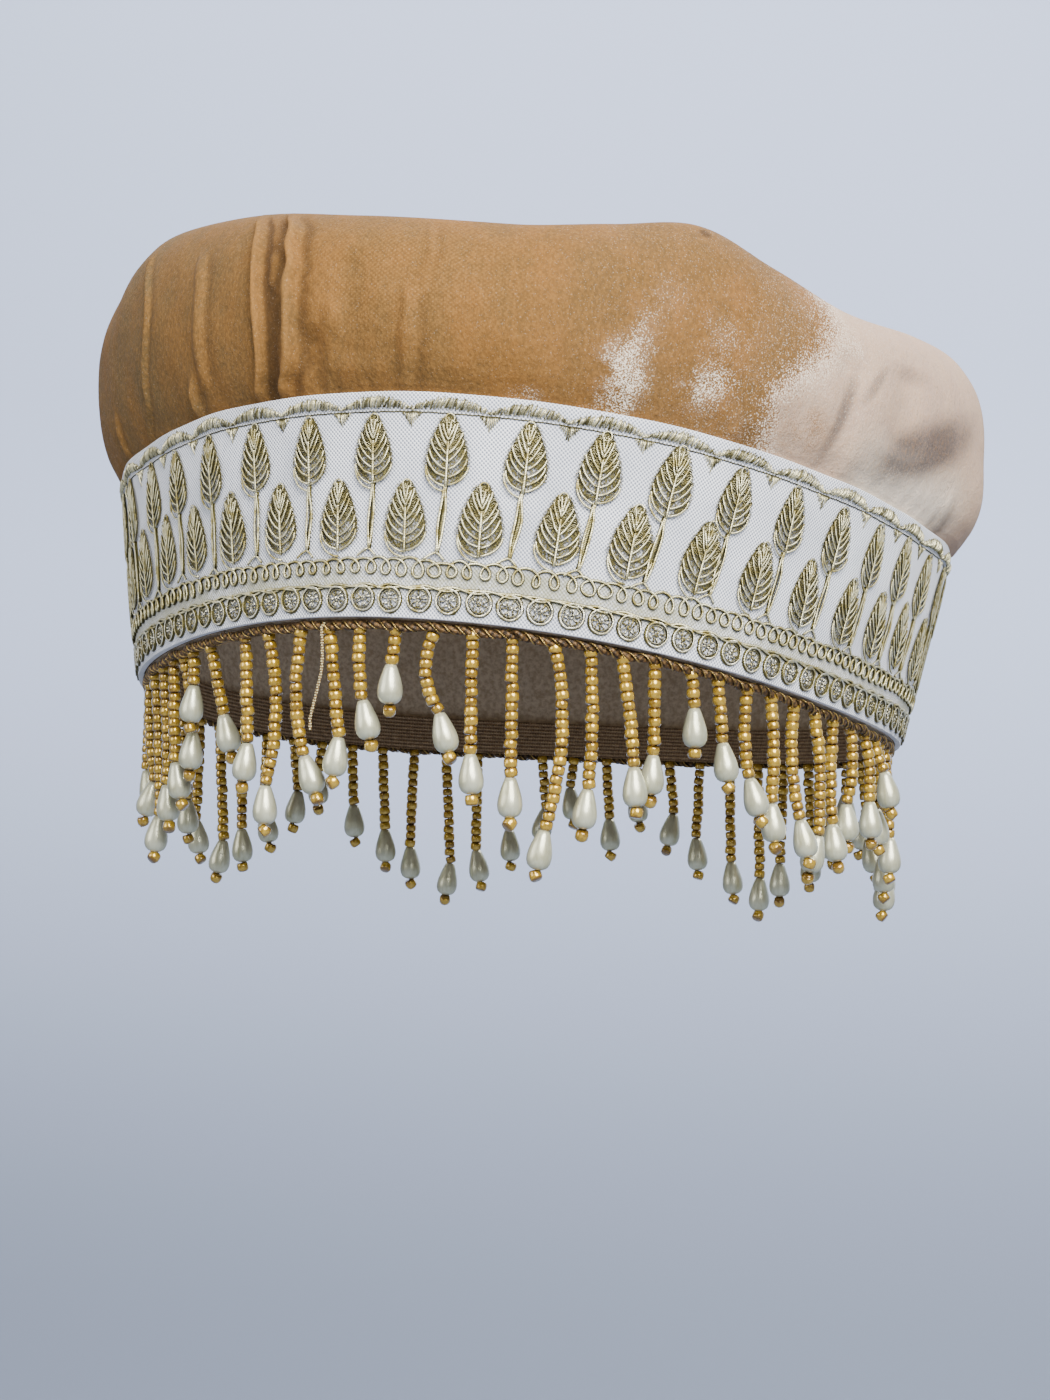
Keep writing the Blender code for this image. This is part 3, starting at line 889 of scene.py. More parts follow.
def gilt_finish(name, bright, dark, roughness, side=None):
    """Metal thread: pale antique gold, coiled finely along its length, tarnished here and there.

    With a side colour, light and shade are painted on the wires: painted shade of the side colour at their foot, rising
    to a painted highlight on their upper side."""
    material, shader, root = start_finish(name)
    place = on_object(root)
    coils = (attribute(root, "along") * (2 * math.pi / (0.34 * MM))).sine()
    tarnish = place.noise(500, 3, 0.6)
    colour = (tarnish + coils * 0.03).between(0.42, 0.66).tint(bright, dark)
    # Painted shade on the wires' sides and a painted highlight on their upper side.
    if side is not None:
        colour = attribute(root, "crown").between(0.15, 0.8).tint(side, colour)
    dress(
        shader,
        Base_Color=colour,
        Metallic=0.9,
        Roughness=roughness + tarnish.between(0.4, 0.7) * 0.2,
        Normal=bump(coils, 0.00006, 0.5),
    )
    return material


def satin_finish(settings):
    """Metal thread laid in satin stitches, each stitch with a tone of its own."""
    material, shader, root = start_finish("satin thread")
    tone = attribute(root, "tone")
    grain = on_object(root).noise(1200, 2, 0.6)
    colour = (tone + (grain - 0.5) * 0.7).between(0.0, 1.0).tint(settings.khaki_and_side_shade, settings.thread)
    dress(shader, Base_Color=colour, Metallic=0.85, Roughness=0.38, Normal=bump(grain, 0.0002, 0.5))
    return material


def leaf_ground_finish(settings):
    """Crinkled net of fine metal thread that fills a leaf, closer at its top and along its edges."""
    material, shader, root = start_finish("leaf net")
    place = on_object(root)
    across, up, _ = on_cloth(root).parts()
    crinkle = place.noise(2600, 3, 0.75)
    patch = place.noise(700, 2)
    edge = across.distance()
    dense = up.between(0.30, 0.75) * 0.16 + edge.between(0.5, 0.95) * 0.10 + (patch - 0.5) * 0.25
    cover = (crinkle + dense).between(0.44, 0.54)
    colour = crinkle.between(0.42, 0.64).tint(settings.net_dark, settings.net)
    dress(
        shader,
        Base_Color=colour,
        Metallic=0.6,
        Roughness=0.42,
        Alpha=cover * 0.92 + 0.06,
        Normal=bump(crinkle, 0.0005, 1.0),
    )
    return material


def braid_finish(settings):
    """Brown twisted yarn with a gold lustre."""
    material, shader, root = start_finish("braid yarn")
    place = on_object(root)
    strand = (attribute(root, "along") * (2 * math.pi / (0.9 * MM))).sine()
    fibre = place.noise(1300, 3, 0.7)
    streak = place.noise(420, 2)
    colour = (fibre * 0.6 + streak * 0.4 + strand * 0.08).between(0.36, 0.66).tint(settings.braid_shade, settings.braid)
    dress(shader, Base_Color=colour, Metallic=0.45, Roughness=0.42, Normal=bump(fibre, 0.0004, 0.9))
    return material


def tape_finish(settings):
    """Brown ribbed tape inside the rim."""
    material, shader, root = start_finish("inner tape")
    along, up, _ = on_cloth(root).parts()
    ribs = (up * (2 * math.pi / (0.9 * MM))).sine() * 0.7 + (along * (2 * math.pi / (0.7 * MM))).sine() * 0.3
    fibre = on_object(root).noise(900, 3)
    colour = (ribs * 0.3 + fibre).between(0.2, 0.9).tint(settings.tape_shade, settings.tape)
    dress(shader, Base_Color=colour, Roughness=0.85, Normal=bump(ribs, 0.0002, 0.7))
    return material


def bead_finish(settings):
    """Honey-coloured glass with a gold lining, with a highlight painted in the bead's middle, shade painted at its
    ends, and a tone that differs at random.
    """
    material, shader, root = start_finish("amber bead")
    tone = attribute(root, "tone")
    waist = attribute(root, "waist")
    swirl = on_object(root).noise(1100, 2)
    # Painted highlight at each bead's waist and painted shade at its ends, mixed with random tone.
    light = waist.between(0.0, 0.5) * 0.5 + tone * 0.35 + (swirl - 0.5) * 1.3
    dress(
        shader,
        Base_Color=light.between(0.05, 0.95).tint(settings.bead_amber_and_shade, settings.bead),
        Metallic=0.55,
        Roughness=0.24,
        Coat_Weight=1.0,
        Coat_Roughness=0.03,
    )
    return material


def pearl_finish(settings):
    """Satin cream pearl with a soft metallic gleam, warmer in soft clouds."""
    material, shader, root = start_finish("pearl")
    place = on_object(root)
    cloud = place.noise(240, 2)
    skin_grain = place.stretched(1.0, 1.0, 0.35).noise(1500, 2, 0.6)
    colour = (cloud * 0.6 + skin_grain * 0.4).between(0.35, 0.7).tint(settings.pearl, settings.pearl_shade)
    dress(
        shader,
        Base_Color=colour,
        Metallic=0.5,
        Roughness=0.34,
        Coat_Weight=0.4,
        Coat_Roughness=0.2,
        Normal=bump(skin_grain, 0.00008, 0.5),
    )
    return material


def thread_finish(settings):
    """Cream sewing cotton."""
    material, shader, root = start_finish("sewing cotton")
    ply = (attribute(root, "along") * (2 * math.pi / (0.55 * MM))).sine()
    colour = ply.between(-0.6, 0.8).tint(settings.braid, settings.cotton)
    dress(shader, Base_Color=colour, Roughness=0.8, Normal=bump(ply, 0.00012, 0.8))
    return material


def backdrop_finish(settings):
    """Plain pale paper, with painted shade that darkens it towards the floor."""
    material, shader, root = start_finish("backdrop paper")
    _, _, rise = on_object(root).parts()
    dress(shader, Base_Color=rise.between(-0.45, 0.16).tint(settings.backdrop_low_shade, settings.backdrop), Roughness=0.9)
    return material


# Trees


def new_tree(name, sockets):
    """A geometry tree with a Geometry input and output and named inputs, and its inputs as sockets."""
    tree = bpy.data.node_groups.new(name, "GeometryNodeTree")
    tree.interface.new_socket("Geometry", in_out="INPUT", socket_type="NodeSocketGeometry")
    tree.interface.new_socket("Geometry", in_out="OUTPUT", socket_type="NodeSocketGeometry")
    for label, kind in sockets:
        tree.interface.new_socket(label, in_out="INPUT", socket_type=f"NodeSocket{kind}")
    entry = tree.nodes.new("NodeGroupInput")
    return tree, {socket.name: Socket(tree, socket) for socket in entry.outputs if socket.name}


def close_tree(tree, geometry, material):
    """Ends a tree in Realize Instances, smooth shading and Set Material."""
    solid = geometry.node("GeometryNodeRealizeInstances", inputs={"Geometry": geometry})
    soft = solid.node("GeometryNodeSetShadeSmooth", inputs={"Geometry": solid})
    done = soft.node("GeometryNodeSetMaterial", inputs={"Geometry": soft, "Material": material})
    tree.links.new(done.socket, tree.nodes.new("NodeGroupOutput").inputs["Geometry"])
    return tree


def motif_tree():
    """Sets one of three motifs on each marked point, turned and sized as the point says."""
    motifs = ("Motif A", "Motif B", "Motif C")
    tree, entry = new_tree(
        "motifs on marks", [*((m, "Object") for m in motifs), ("Seed", "Int"), ("Material", "Material")]
    )
    geometry = entry["Geometry"]
    shapes = [
        geometry.node("GeometryNodeObjectInfo", inputs={"Object": entry[m]}).other("Geometry") for m in motifs
    ]
    choice = geometry.node("GeometryNodeGeometryToInstance", inputs={"Geometry": list(reversed(shapes))})
    pick = geometry.node(
        "FunctionNodeRandomValue", {"data_type": "INT"}, {4: 0, 5: 2, "Seed": entry["Seed"]}, output=2
    )
    facing = geometry.node(
        "GeometryNodeInputNamedAttribute", {"data_type": "FLOAT_VECTOR"}, {"Name": "facing"}
    )
    size = geometry.node("GeometryNodeInputNamedAttribute", {"data_type": "FLOAT_VECTOR"}, {"Name": "size"})
    laid = geometry.node(
        "GeometryNodeInstanceOnPoints",
        inputs={
            "Points": geometry,
            "Instance": choice,
            "Pick Instance": True,
            "Instance Index": pick,
            "Rotation": facing.node("FunctionNodeEulerToRotation", inputs={0: facing}),
            "Scale": size,
        },
    )
    return close_tree(tree, laid, entry["Material"])


def wire_tree():
    """Makes a round wire along each chain of edges, with its length kept as an attribute."""
    tree, entry = new_tree("wire along chains", [("Radius", "Float"), ("Sides", "Int"), ("Material", "Material")])
    geometry = entry["Geometry"]
    curve = geometry.node("GeometryNodeMeshToCurve", inputs={0: geometry})
    length = curve.node("GeometryNodeSplineParameter").other("Length")
    kept = curve.node(
        "GeometryNodeStoreNamedAttribute",
        {"data_type": "FLOAT", "domain": "POINT"},
        {"Geometry": curve, "Name": "along", "Value": length},
    )
    ring = kept.node(
        "GeometryNodeCurvePrimitiveCircle", inputs={"Resolution": entry["Sides"], "Radius": entry["Radius"]}
    )
    wire = kept.node("GeometryNodeCurveToMesh", inputs={"Curve": kept, "Profile Curve": ring, "Fill Caps": True})
    return close_tree(tree, wire, entry["Material"])


def rope_tree():
    """Lays two plies round each chain of edges, wound at a pitch; a negative pitch winds them the other way."""
    tree, entry = new_tree(
        "two ply rope",
        [
            ("Ply Radius", "Float"),
            ("Ply Offset", "Float"),
            ("Ply Pitch", "Float"),
            ("Phase", "Float"),
            ("Step", "Float"),
            ("Sides", "Int"),
            ("Material", "Material"),
        ],
    )
    geometry = entry["Geometry"]
    path = geometry.node("GeometryNodeMeshToCurve", inputs={0: geometry})
    path = path.node(
        "GeometryNodeResampleCurve", {"mode": "LENGTH"}, {"Curve": path, "Length": entry["Step"]}
    )
    length = path.node("GeometryNodeSplineParameter").other("Length")
    kept = path.node(
        "GeometryNodeStoreNamedAttribute",
        {"data_type": "FLOAT", "domain": "POINT"},
        {"Geometry": path, "Name": "along", "Value": length},
    )
    tangent = path.node("GeometryNodeInputTangent")
    normal = path.node("GeometryNodeInputNormal")
    across = normal.node("ShaderNodeVectorMath", {"operation": "CROSS_PRODUCT"}, {0: tangent, 1: normal})
    turn = length / entry["Ply Pitch"] * (2 * math.pi)
    ring = path.node(
        "GeometryNodeCurvePrimitiveCircle", inputs={"Resolution": entry["Sides"], "Radius": entry["Ply Radius"]}
    )
    plies = []
    for phase in (0.0, math.pi):
        angle = turn + entry["Phase"] + phase
        one = normal.node(
            "ShaderNodeVectorMath",
            {"operation": "SCALE"},
            {0: normal, "Scale": angle.math("COSINE", angle) * entry["Ply Offset"]},
        )
        two = across.node(
            "ShaderNodeVectorMath",
            {"operation": "SCALE"},
            {0: across, "Scale": angle.sine() * entry["Ply Offset"]},
        )
        offset = one.node("ShaderNodeVectorMath", {"operation": "ADD"}, {0: one, 1: two})
        ply = kept.node("GeometryNodeSetPosition", inputs={"Geometry": kept, "Offset": offset})
        plies.append(ply.node("GeometryNodeCurveToMesh", inputs={"Curve": ply, "Profile Curve": ring}))
    rope = path.node("GeometryNodeJoinGeometry", inputs={"Geometry": plies})
    return close_tree(tree, rope, entry["Material"])


def bead_tree():
    """Threads a bead at each step along each chain of edges, unevenly seated, with a tone of its own."""
    tree, entry = new_tree(
        "beads on strings",
        [("Bead", "Object"), ("Pitch", "Float"), ("Seed", "Int"), ("Material", "Material")],
    )
    geometry = entry["Geometry"]
    string = geometry.node("GeometryNodeMeshToCurve", inputs={0: geometry})
    string = string.node(
        "GeometryNodeResampleCurve", {"mode": "LENGTH"}, {"Curve": string, "Length": entry["Pitch"]}
    )
    tangent = string.node("GeometryNodeInputTangent")
    shift = string.node(
        "FunctionNodeRandomValue",
        {"data_type": "FLOAT_VECTOR"},
        {0: (-0.13 * MM, -0.13 * MM, 0.0), 1: (0.13 * MM, 0.13 * MM, 0.0), "Seed": entry["Seed"]},
    )
    string = string.node("GeometryNodeSetPosition", inputs={"Geometry": string, "Offset": shift})
    tilt = string.node(
        "FunctionNodeRandomValue",
        {"data_type": "FLOAT_VECTOR"},
        {0: (-0.16, -0.16, -0.16), 1: (0.16, 0.16, 0.16), "Seed": entry["Seed"]},
    )
    lean = tangent.node("ShaderNodeVectorMath", {"operation": "ADD"}, {0: tangent, 1: tilt})
    facing = lean.node("FunctionNodeAlignRotationToVector", {"axis": "Z"}, {"Vector": lean})
    size = string.node(
        "FunctionNodeRandomValue", {"data_type": "FLOAT"}, {2: 0.95, 3: 1.06, "Seed": entry["Seed"]}, output=1
    )
    bead = string.node("GeometryNodeObjectInfo", inputs={"Object": entry["Bead"]}).other("Geometry")
    threaded = string.node(
        "GeometryNodeInstanceOnPoints",
        inputs={"Points": string, "Instance": bead, "Rotation": facing, "Scale": size},
    )
    shade = string.node("FunctionNodeRandomValue", {"data_type": "FLOAT"}, {"Seed": entry["Seed"]}, output=1)
    toned = threaded.node(
        "GeometryNodeStoreNamedAttribute",
        {"data_type": "FLOAT", "domain": "INSTANCE"},
        {"Geometry": threaded, "Name": "tone", "Value": shade},
    )
    return close_tree(tree, toned, entry["Material"])


def grow(name, source, tree, values):
    """Runs a tree on a source object and keeps what it makes as a plain mesh piece."""
    modifier = source.modifiers.new(tree.name, "NODES")
    modifier.node_group = tree
    for item in tree.interface.items_tree:
        if item.in_out == "INPUT" and item.name in values:
            modifier[item.identifier] = values[item.name]
    graph = bpy.context.evaluated_depsgraph_get()
    mesh = bpy.data.meshes.new_from_object(
        source.evaluated_get(graph), preserve_all_data_layers=True, depsgraph=graph
    )
    mesh.name = name
    bpy.data.objects.remove(source)
    return link_piece(name, mesh)


def stamp(name, source, motifs, seed, material):
    """A piece of motifs on marks; the motifs themselves are deleted."""
    values = {"Seed": seed, "Material": material}
    shapes = [link_piece(f"{name} motif", mesh) for mesh in motifs]
    for label, shape in zip(("Motif A", "Motif B", "Motif C"), shapes * 3):
        values[label] = shape
    piece = grow(name, source, motif_tree(), values)
    for shape in shapes:
        bpy.data.objects.remove(shape)
    return piece


def settle(piece, slot, *nodes):
    """Hands a finished piece to the frame."""
    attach(piece, "root")
    if nodes:
        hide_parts(*nodes)
    return piece


# Velvet


def velvet_turns():
    """Turns of the velvet's columns: close at the tucks, finer at the front than at the back."""
    turns = [-180.0]
    while turns[-1] < 180:
        here = turns[-1]
        near = min(abs(here - turn) for form in TUCKS for _, turn in form["path"])
        if near < 3:
            step = 0.24
        elif -100 < here < 118:
            step = 0.48
        else:
            step = 1.2
        turns.append(here + step)
    return np.array(turns[:-1])


def velvet_side_mesh(settings):
    turns = velvet_turns()
    line = RIBBON_HEIGHT * WALL_FLARE - RIBBON_THICKNESS - LAYER_GAP
    rows, heights = [], []
    for share in (0.0, 0.33, 0.66, 1.0):
        out = line - (1 - share) * RIBBON_HEIGHT * WALL_FLARE
        rows.append(rim_point(turns, out, RIBBON_HEIGHT * share))
        heights.append((share - 1) * 0.9)
    for share in np.concatenate((np.linspace(0.03, 0.9, 64), np.linspace(0.912, 1.0, 14))):
        rows.append(velvet_face(turns, share, 0.0))
        heights.append(share)
    outer = len(rows)
    for share in np.linspace(1.0, 0.05, 12):
        rows.append(velvet_face(turns, share, settings.thickness))
        heights.append(share)
    rows.append(rim_point(turns, line - settings.thickness - RIBBON_HEIGHT * WALL_FLARE, 0.0))
    heights.append(-0.9)
    places = np.zeros((len(rows), len(turns) + 1, 2))
    places[:, :, 0] = (np.append(turns, 180.0) + 180) / 360
    places[:, :, 1] = np.array(heights)[:, None]
    mesh = skin("velvet_side", rows, places)
    # How near each point is to a tuck's crest or to a crease beside one, which the velvet's finish uses to paint a
    # highlight on crests and shade in creases.
    creases = [tucks(turns, max(0.0, share))[1] for share in heights]
    crease = mesh.attributes.new("crease", "FLOAT", "POINT")
    crease.data.foreach_set("value", np.array(creases).ravel())
    backs = np.repeat(np.arange(len(rows)) >= outer, len(turns)).astype(np.int32)
    mesh.polygons.foreach_set("material_index", backs)
    smooth_mesh(mesh, 60)
    return mesh


def velvet_top_mesh(settings):
    """Top panel: a shallow dome, two faces, its edge turned down into the seam."""
    turns = np.linspace(-180, 180, 241)[:-1]
    out, rise = velvet_line(turns, np.ones_like(turns))
    rim_flat = rim_point(turns, out - LAYER_GAP, rise) @ WORN
    middle = rim_flat[:, 2].mean() + TOP_RISE
    scales = np.concatenate((np.linspace(1.0, 0.9, 8), np.linspace(0.85, 0.04, 18)))

    def dome(scale, drop):
        keep = scale * scale
        ring = rim_flat * (scale, scale, keep) + (0, 0, middle * (1 - keep) - drop)
        angle = np.radians(turns)
        sag = 0.0006 * np.sin(5 * angle + 9 * scale) * scale * smooth((1 - scale) / 0.2)
        ring[:, 2] += sag
        return ring @ WORN.T

    thickness = settings.thickness
    under = [dome(scale * 0.992, thickness) for scale in scales[::-1]]
    over = [dome(scale, 0.35 * MM * max(0.0, 1 - (1 - scale) / 0.02)) for scale in scales]
    rows = np.array(under + over)
    places = np.zeros((len(rows), len(turns) + 1, 2))
    places[:, :, 0] = (np.append(turns, 180.0) + 180) / 360
    places[:, :, 1] = 1.2
    mesh = skin("velvet_top", rows, places, closed=False)
    close_poles(mesh, len(turns), len(rows))
    backs = (np.arange(len(mesh.polygons)) < (len(under) - 1) * len(turns)).astype(np.int32)
    backs[-2] = 1
    mesh.polygons.foreach_set("material_index", backs)
    smooth_mesh(mesh, 60)
    return mesh


def close_poles(mesh, columns, rows):
    """Caps the first and the last ring of a skin with one face each."""
    import bmesh

    shape = bmesh.new()
    shape.from_mesh(mesh)
    shape.verts.ensure_lookup_table()
    shape.faces.new([shape.verts[i] for i in reversed(range(columns))])
    last = (rows - 1) * columns
    shape.faces.new([shape.verts[last + i] for i in range(columns)])
    shape.to_mesh(mesh)
    shape.free()


# Ribbon


def ribbon_mesh(settings):
    """The ribbon as a closed band: outer face, hem folded over with a soft edge, and plain inner face."""
    columns = 720
    arcs = LEAF_ARCS[0] + LEAF_GIRTH * np.arange(columns) / columns
    foot = RIBBON_HEIGHT - HEM_HEIGHT
    soft = 0.30 * MM
    section = [(h, 0.0) for h in np.linspace(0.0, foot - 0.5 * MM, 18)]
    section += [(foot + k * soft, 0.0) for k in range(7)]
    section += [(h, 0.0) for h in np.linspace(foot + 2.2 * MM, RIBBON_HEIGHT - 0.4 * MM, 4)]
    section += [(RIBBON_HEIGHT - 0.1 * MM, -0.15 * MM), (RIBBON_HEIGHT, -0.6 * MM)]
    rows = [ribbon_place(arcs, h, lift) for h, lift in section]
    inner = -settings.thickness
    for height in np.linspace(RIBBON_HEIGHT, 0.0, 4):
        rows.append(rim_point(turn_of(arcs), height * WALL_FLARE + inner, height))
    heights = [h for h, _ in section] + list(np.linspace(RIBBON_HEIGHT, 0.0, 4))
    places = np.zeros((len(rows), columns + 1, 2))
    places[:, :, 0] = LEAF_ARCS[0] + LEAF_GIRTH * np.arange(columns + 1) / columns
    places[:, :, 1] = np.array(heights)[:, None]
    mesh = skin("ribbon_cloth", rows, places)
    smooth_mesh(mesh, 50)
    return mesh


LEAF_OUTLINE = (
    (0.00, 0.10),
    (0.05, 0.42),
    (0.13, 0.74),
    (0.25, 0.97),
    (0.36, 1.00),
    (0.50, 0.92),
    (0.65, 0.76),
    (0.78, 0.58),
    (0.89, 0.40),
    (0.96, 0.26),
    (1.00, 0.04),
)


def leaf_wires(height, width, seed, stem=0.0):
    """A couched leaf: midrib, veins, tip loop, crinkled margin and filling, and a stem if it has a length."""
    random = np.random.default_rng(seed)
    wires = Wires()

    def edge(share):
        return width / 2 * eased(LEAF_OUTLINE, share)

    def jitter(size):
        return random.normal(0.0, size * MM)

    def vein(side, foot, rise, reach, start, straight):
        path = []
        for t in np.linspace(0.0, 1.0, 7):
            turn = t * math.pi / 2
            x = start + side * reach * ((1 - straight) * math.sin(turn) + straight * t)
            y = height * (foot + rise * ((1 - straight) * (1 - math.cos(turn)) + straight * t))
            path.append((x + jitter(0.04), y + jitter(0.04), (0.48 + 0.16 * math.sin(2 * turn)) * MM))
        wires.add(path, 0.235 * MM, 6, flat=0.9)

    head = 0.60 + random.normal(0, 0.02)
    lean = random.normal(0.35, 0.2) * MM
    rib = [(lean * s * abs(s), height * s, 0.7 * MM) for s in np.linspace(-0.02, head, 7)]
    wires.add(rib, 0.28 * MM, 6, flat=0.9)
    for side in (-1, 1):
        shift = random.normal(0, 0.018)
        for k in range(6):
            foot = 0.01 + 0.104 * k + shift + random.normal(0, 0.009)
            rise = 0.27 + 0.012 * k + random.normal(0, 0.015)
            reach = edge(min(0.97, foot + rise)) * (0.95 + random.normal(0, 0.03))
            vein(side, foot, rise, reach, lean * foot * foot, 0.15 + 0.12 * k)
        for k, across in enumerate((0.50, 0.22)):
            foot = head + 0.02 + 0.07 * k
            vein(side, foot, 0.22, edge(foot + 0.22) * across + 0.2 * MM, lean * head * head, 0.9)
    vein(-1, -0.085, 0.32, edge(0.235) * 1.04, 0.0, 0.0)
    loop = 0.95 * MM
    middle = height - loop
    ring = []
    for angle in np.linspace(0, 2 * math.pi, 11)[:-1]:
        ring.append((lean + loop * math.cos(angle), middle + loop * math.sin(angle), 0.45 * MM))
    wires.add(ring, 0.19 * MM, 6, closed=True)
    # The margin and filling wires have less gleam than the veins, so less painted highlight and more painted shade.
    for side in (-1, 1):
        margin = []
        for k in range(44):
            share = 0.04 + 0.92 * k / 43
            off = 0.26 * MM * (1 if k % 2 else -1) + jitter(0.10)
            margin.append((side * (edge(share) + 0.02 * MM + off), height * share, (0.26 + 0.10 * (k % 3)) * MM))
        wires.add(margin, 0.13 * MM, 3, gleam=0.6)
    for k in range(14):
        share = 0.48 + 0.46 * k / 14
        reach = edge(min(0.97, share + 0.03)) * 0.93
        path = []
        for j, t in enumerate(np.linspace(-1.0, 1.0, 9)):
            y = height * (share + 0.05 * abs(t)) + (0.3 * MM if j % 2 else -0.3 * MM) + jitter(0.1)
            path.append((lean + reach * t + jitter(0.1), y, (0.26 + 0.10 * (j % 3)) * MM))
        wires.add(path, 0.13 * MM, 3, gleam=0.75)
    if stem:
        add_stem(wires, stem, random)
    return wires.mesh("leaf")


def add_stem(wires, length, random):
    """Two wires from the leaf's foot that bow apart, meet again, and end in two short roots, on a dull ground wire that
    is partly dark thread and partly painted shadow.
    """
    bow = 0.80 * MM * (1 + random.normal(0, 0.15))
    slant = (1.3 + random.normal(0, 0.25)) * MM
    left, right, ground = [], [], []
    for t in np.linspace(0.0, 1.0, 13):
        y = -length * t
        x = -slant * t ** 0.7
        wave = 0.12 * MM * math.sin(9 * t + slant * 4000)
        apart = bow * math.sin(math.pi * max(0.0, t - 0.10) / 0.90)
        left.append((x + wave - 0.25 * MM * math.sin(math.pi * t ** 0.6), y, 0.50 * MM))
        right.append((x + wave + apart + 0.15 * MM, y, 0.56 * MM))
        ground.append((x + wave + apart / 2, y, 0.16 * MM))
    wires.add(left, 0.28 * MM, 6, flat=0.9)
    wires.add(right, 0.28 * MM, 6, flat=0.9)
    # Dull ground wire under the stem: partly dark thread, partly painted shadow.
    wires.add(ground, 0.50 * MM, 6, flat=0.4, gleam=0.3)
    for side, reach in ((-1, 2.6), (1, 1.7)):
        root = []
        for t in np.linspace(0.0, 1.0, 6):
            x = -slant + side * reach * MM * t
            root.append((x, -length - 1.5 * MM * t ** 1.4, 0.50 * MM))
        wires.add(root, 0.26 * MM, 6, flat=0.9)


def leaf_ground(height, width):
    """Thin domed ground that a leaf's net is painted on."""
    lines = np.linspace(0.02, 0.98, 14)
    points, faces, places = [], [], []
    columns = 7
    for share in lines:
        for c in np.linspace(-1, 1, columns):
            x = c * width / 2 * eased(LEAF_OUTLINE, share) * 0.96
            points.append((float(x), height * share, (0.16 + 0.14 * (1 - c * c)) * MM))
            places.append((c, share))
    for i in range(len(lines) - 1):
        for j in range(columns - 1):
            a = i * columns + j
            faces.append((a, a + 1, a + columns + 1, a + columns))
    mesh = bpy.data.meshes.new("leaf ground")
    mesh.from_pydata(points, [], faces)
    layer = mesh.uv_layers.new(name="cloth")
    layer.data.foreach_set("uv", [c for face in faces for v in face for c in places[v]])
    smooth_mesh(mesh)
    return mesh


def ring_wires(radius, seed):
    """A couched ring of wire round a filling of short bright chips."""
    random = np.random.default_rng(seed)
    wires = Wires()
    # The widest, lowest ring has no gleam: a dark ring under the bright one, partly dark thread and partly painted
    # shadow.
    for reach, thick, lift, gleam in (
        (radius * 1.02, 0.36, 0.16, 0.0),
        (radius, 0.24, 0.46, 1.0),
        (radius * 0.76, 0.15, 0.26, 0.4),
    ):
        path = []
        for a in np.linspace(0, 2 * math.pi, 19)[:-1]:
            r = reach * (1 + random.normal(0, 0.02))
            path.append((r * math.cos(a), r * math.sin(a), lift * MM))
        wires.add(path, thick * MM, 6, closed=True, gleam=gleam)
    for count, middle, half, twist in ((9, 0.48, 0.46, 0.0), (3, 0.14, 0.34, 1.2)):
        for k in range(count):
            around = 2 * math.pi * k / count + random.normal(0, 0.12)
            turn = around + twist + random.normal(0, 0.3)
            x, y = radius * middle * math.cos(around), radius * middle * math.sin(around)
            dx, dy = half * MM * math.cos(turn), half * MM * math.sin(turn)
            lift = (0.36 + random.normal(0, 0.05)) * MM
            chip = [(x - dx, y - dy, lift * 0.5), (x, y, lift + 0.12 * MM), (x + dx, y + dy, lift * 0.5)]
            wires.add(chip, 0.21 * MM, 5, gleam=(1.0, 0.9, 0.45)[k % 3])
    return wires.mesh("ring")


def stitch_mesh(seed):
    """One satin stitch, 1 mm long up Y: a rounded bar that dips into the cloth at both ends, duller at a low seed."""
    wires = Wires()
    top = (0.22, 0.34, 0.46)[seed]
    path = [(0.0, MM * (t - 0.5), MM * (0.04 + top * math.sin(math.pi * t))) for t in (0, 0.25, 0.5, 0.75, 1)]
    wires.add(path, (0.17, 0.15, 0.14)[seed] * MM, 4)
    mesh = wires.mesh("stitch")
    tone = mesh.attributes.new("tone", "FLOAT", "POINT")
    tone.data.foreach_set("value", [(0.20, 0.46, 0.84)[seed]] * len(mesh.vertices))
    return mesh


def slipped(arc):
    """How far the tall leaves at the wearer's left are sewn off their even places."""
    return -2.1 * MM * smooth((arc - 0.018) / 0.036) * smooth((0.30 - arc) / 0.18)


def leaf_marks(name, count, foot, offset, seed):
    """Marks for leaves evenly round the ribbon, a little uneven as hand work is."""
    random = np.random.default_rng(seed)
    places, facings, sizes = [], [], []
    for k in range(count):
        arc = TALL_LEAF_START + LEAF_GIRTH * (k + offset) / count + random.normal(0, 0.12) * MM
        arc += slipped(arc) * (1.0 if offset == 0 else 0.25)
        height = RIBBON_HEIGHT * foot + random.normal(0, 0.12) * MM
        places.append(ribbon_place(arc, height, 0.05 * MM))
        facings.append(ribbon_facing(arc, height, random.normal(0, 1.2)))
        size = 1 + random.normal(0, 0.02)
        sizes.append((size, size, 1.0))
    return marks(name, places, facings, sizes)


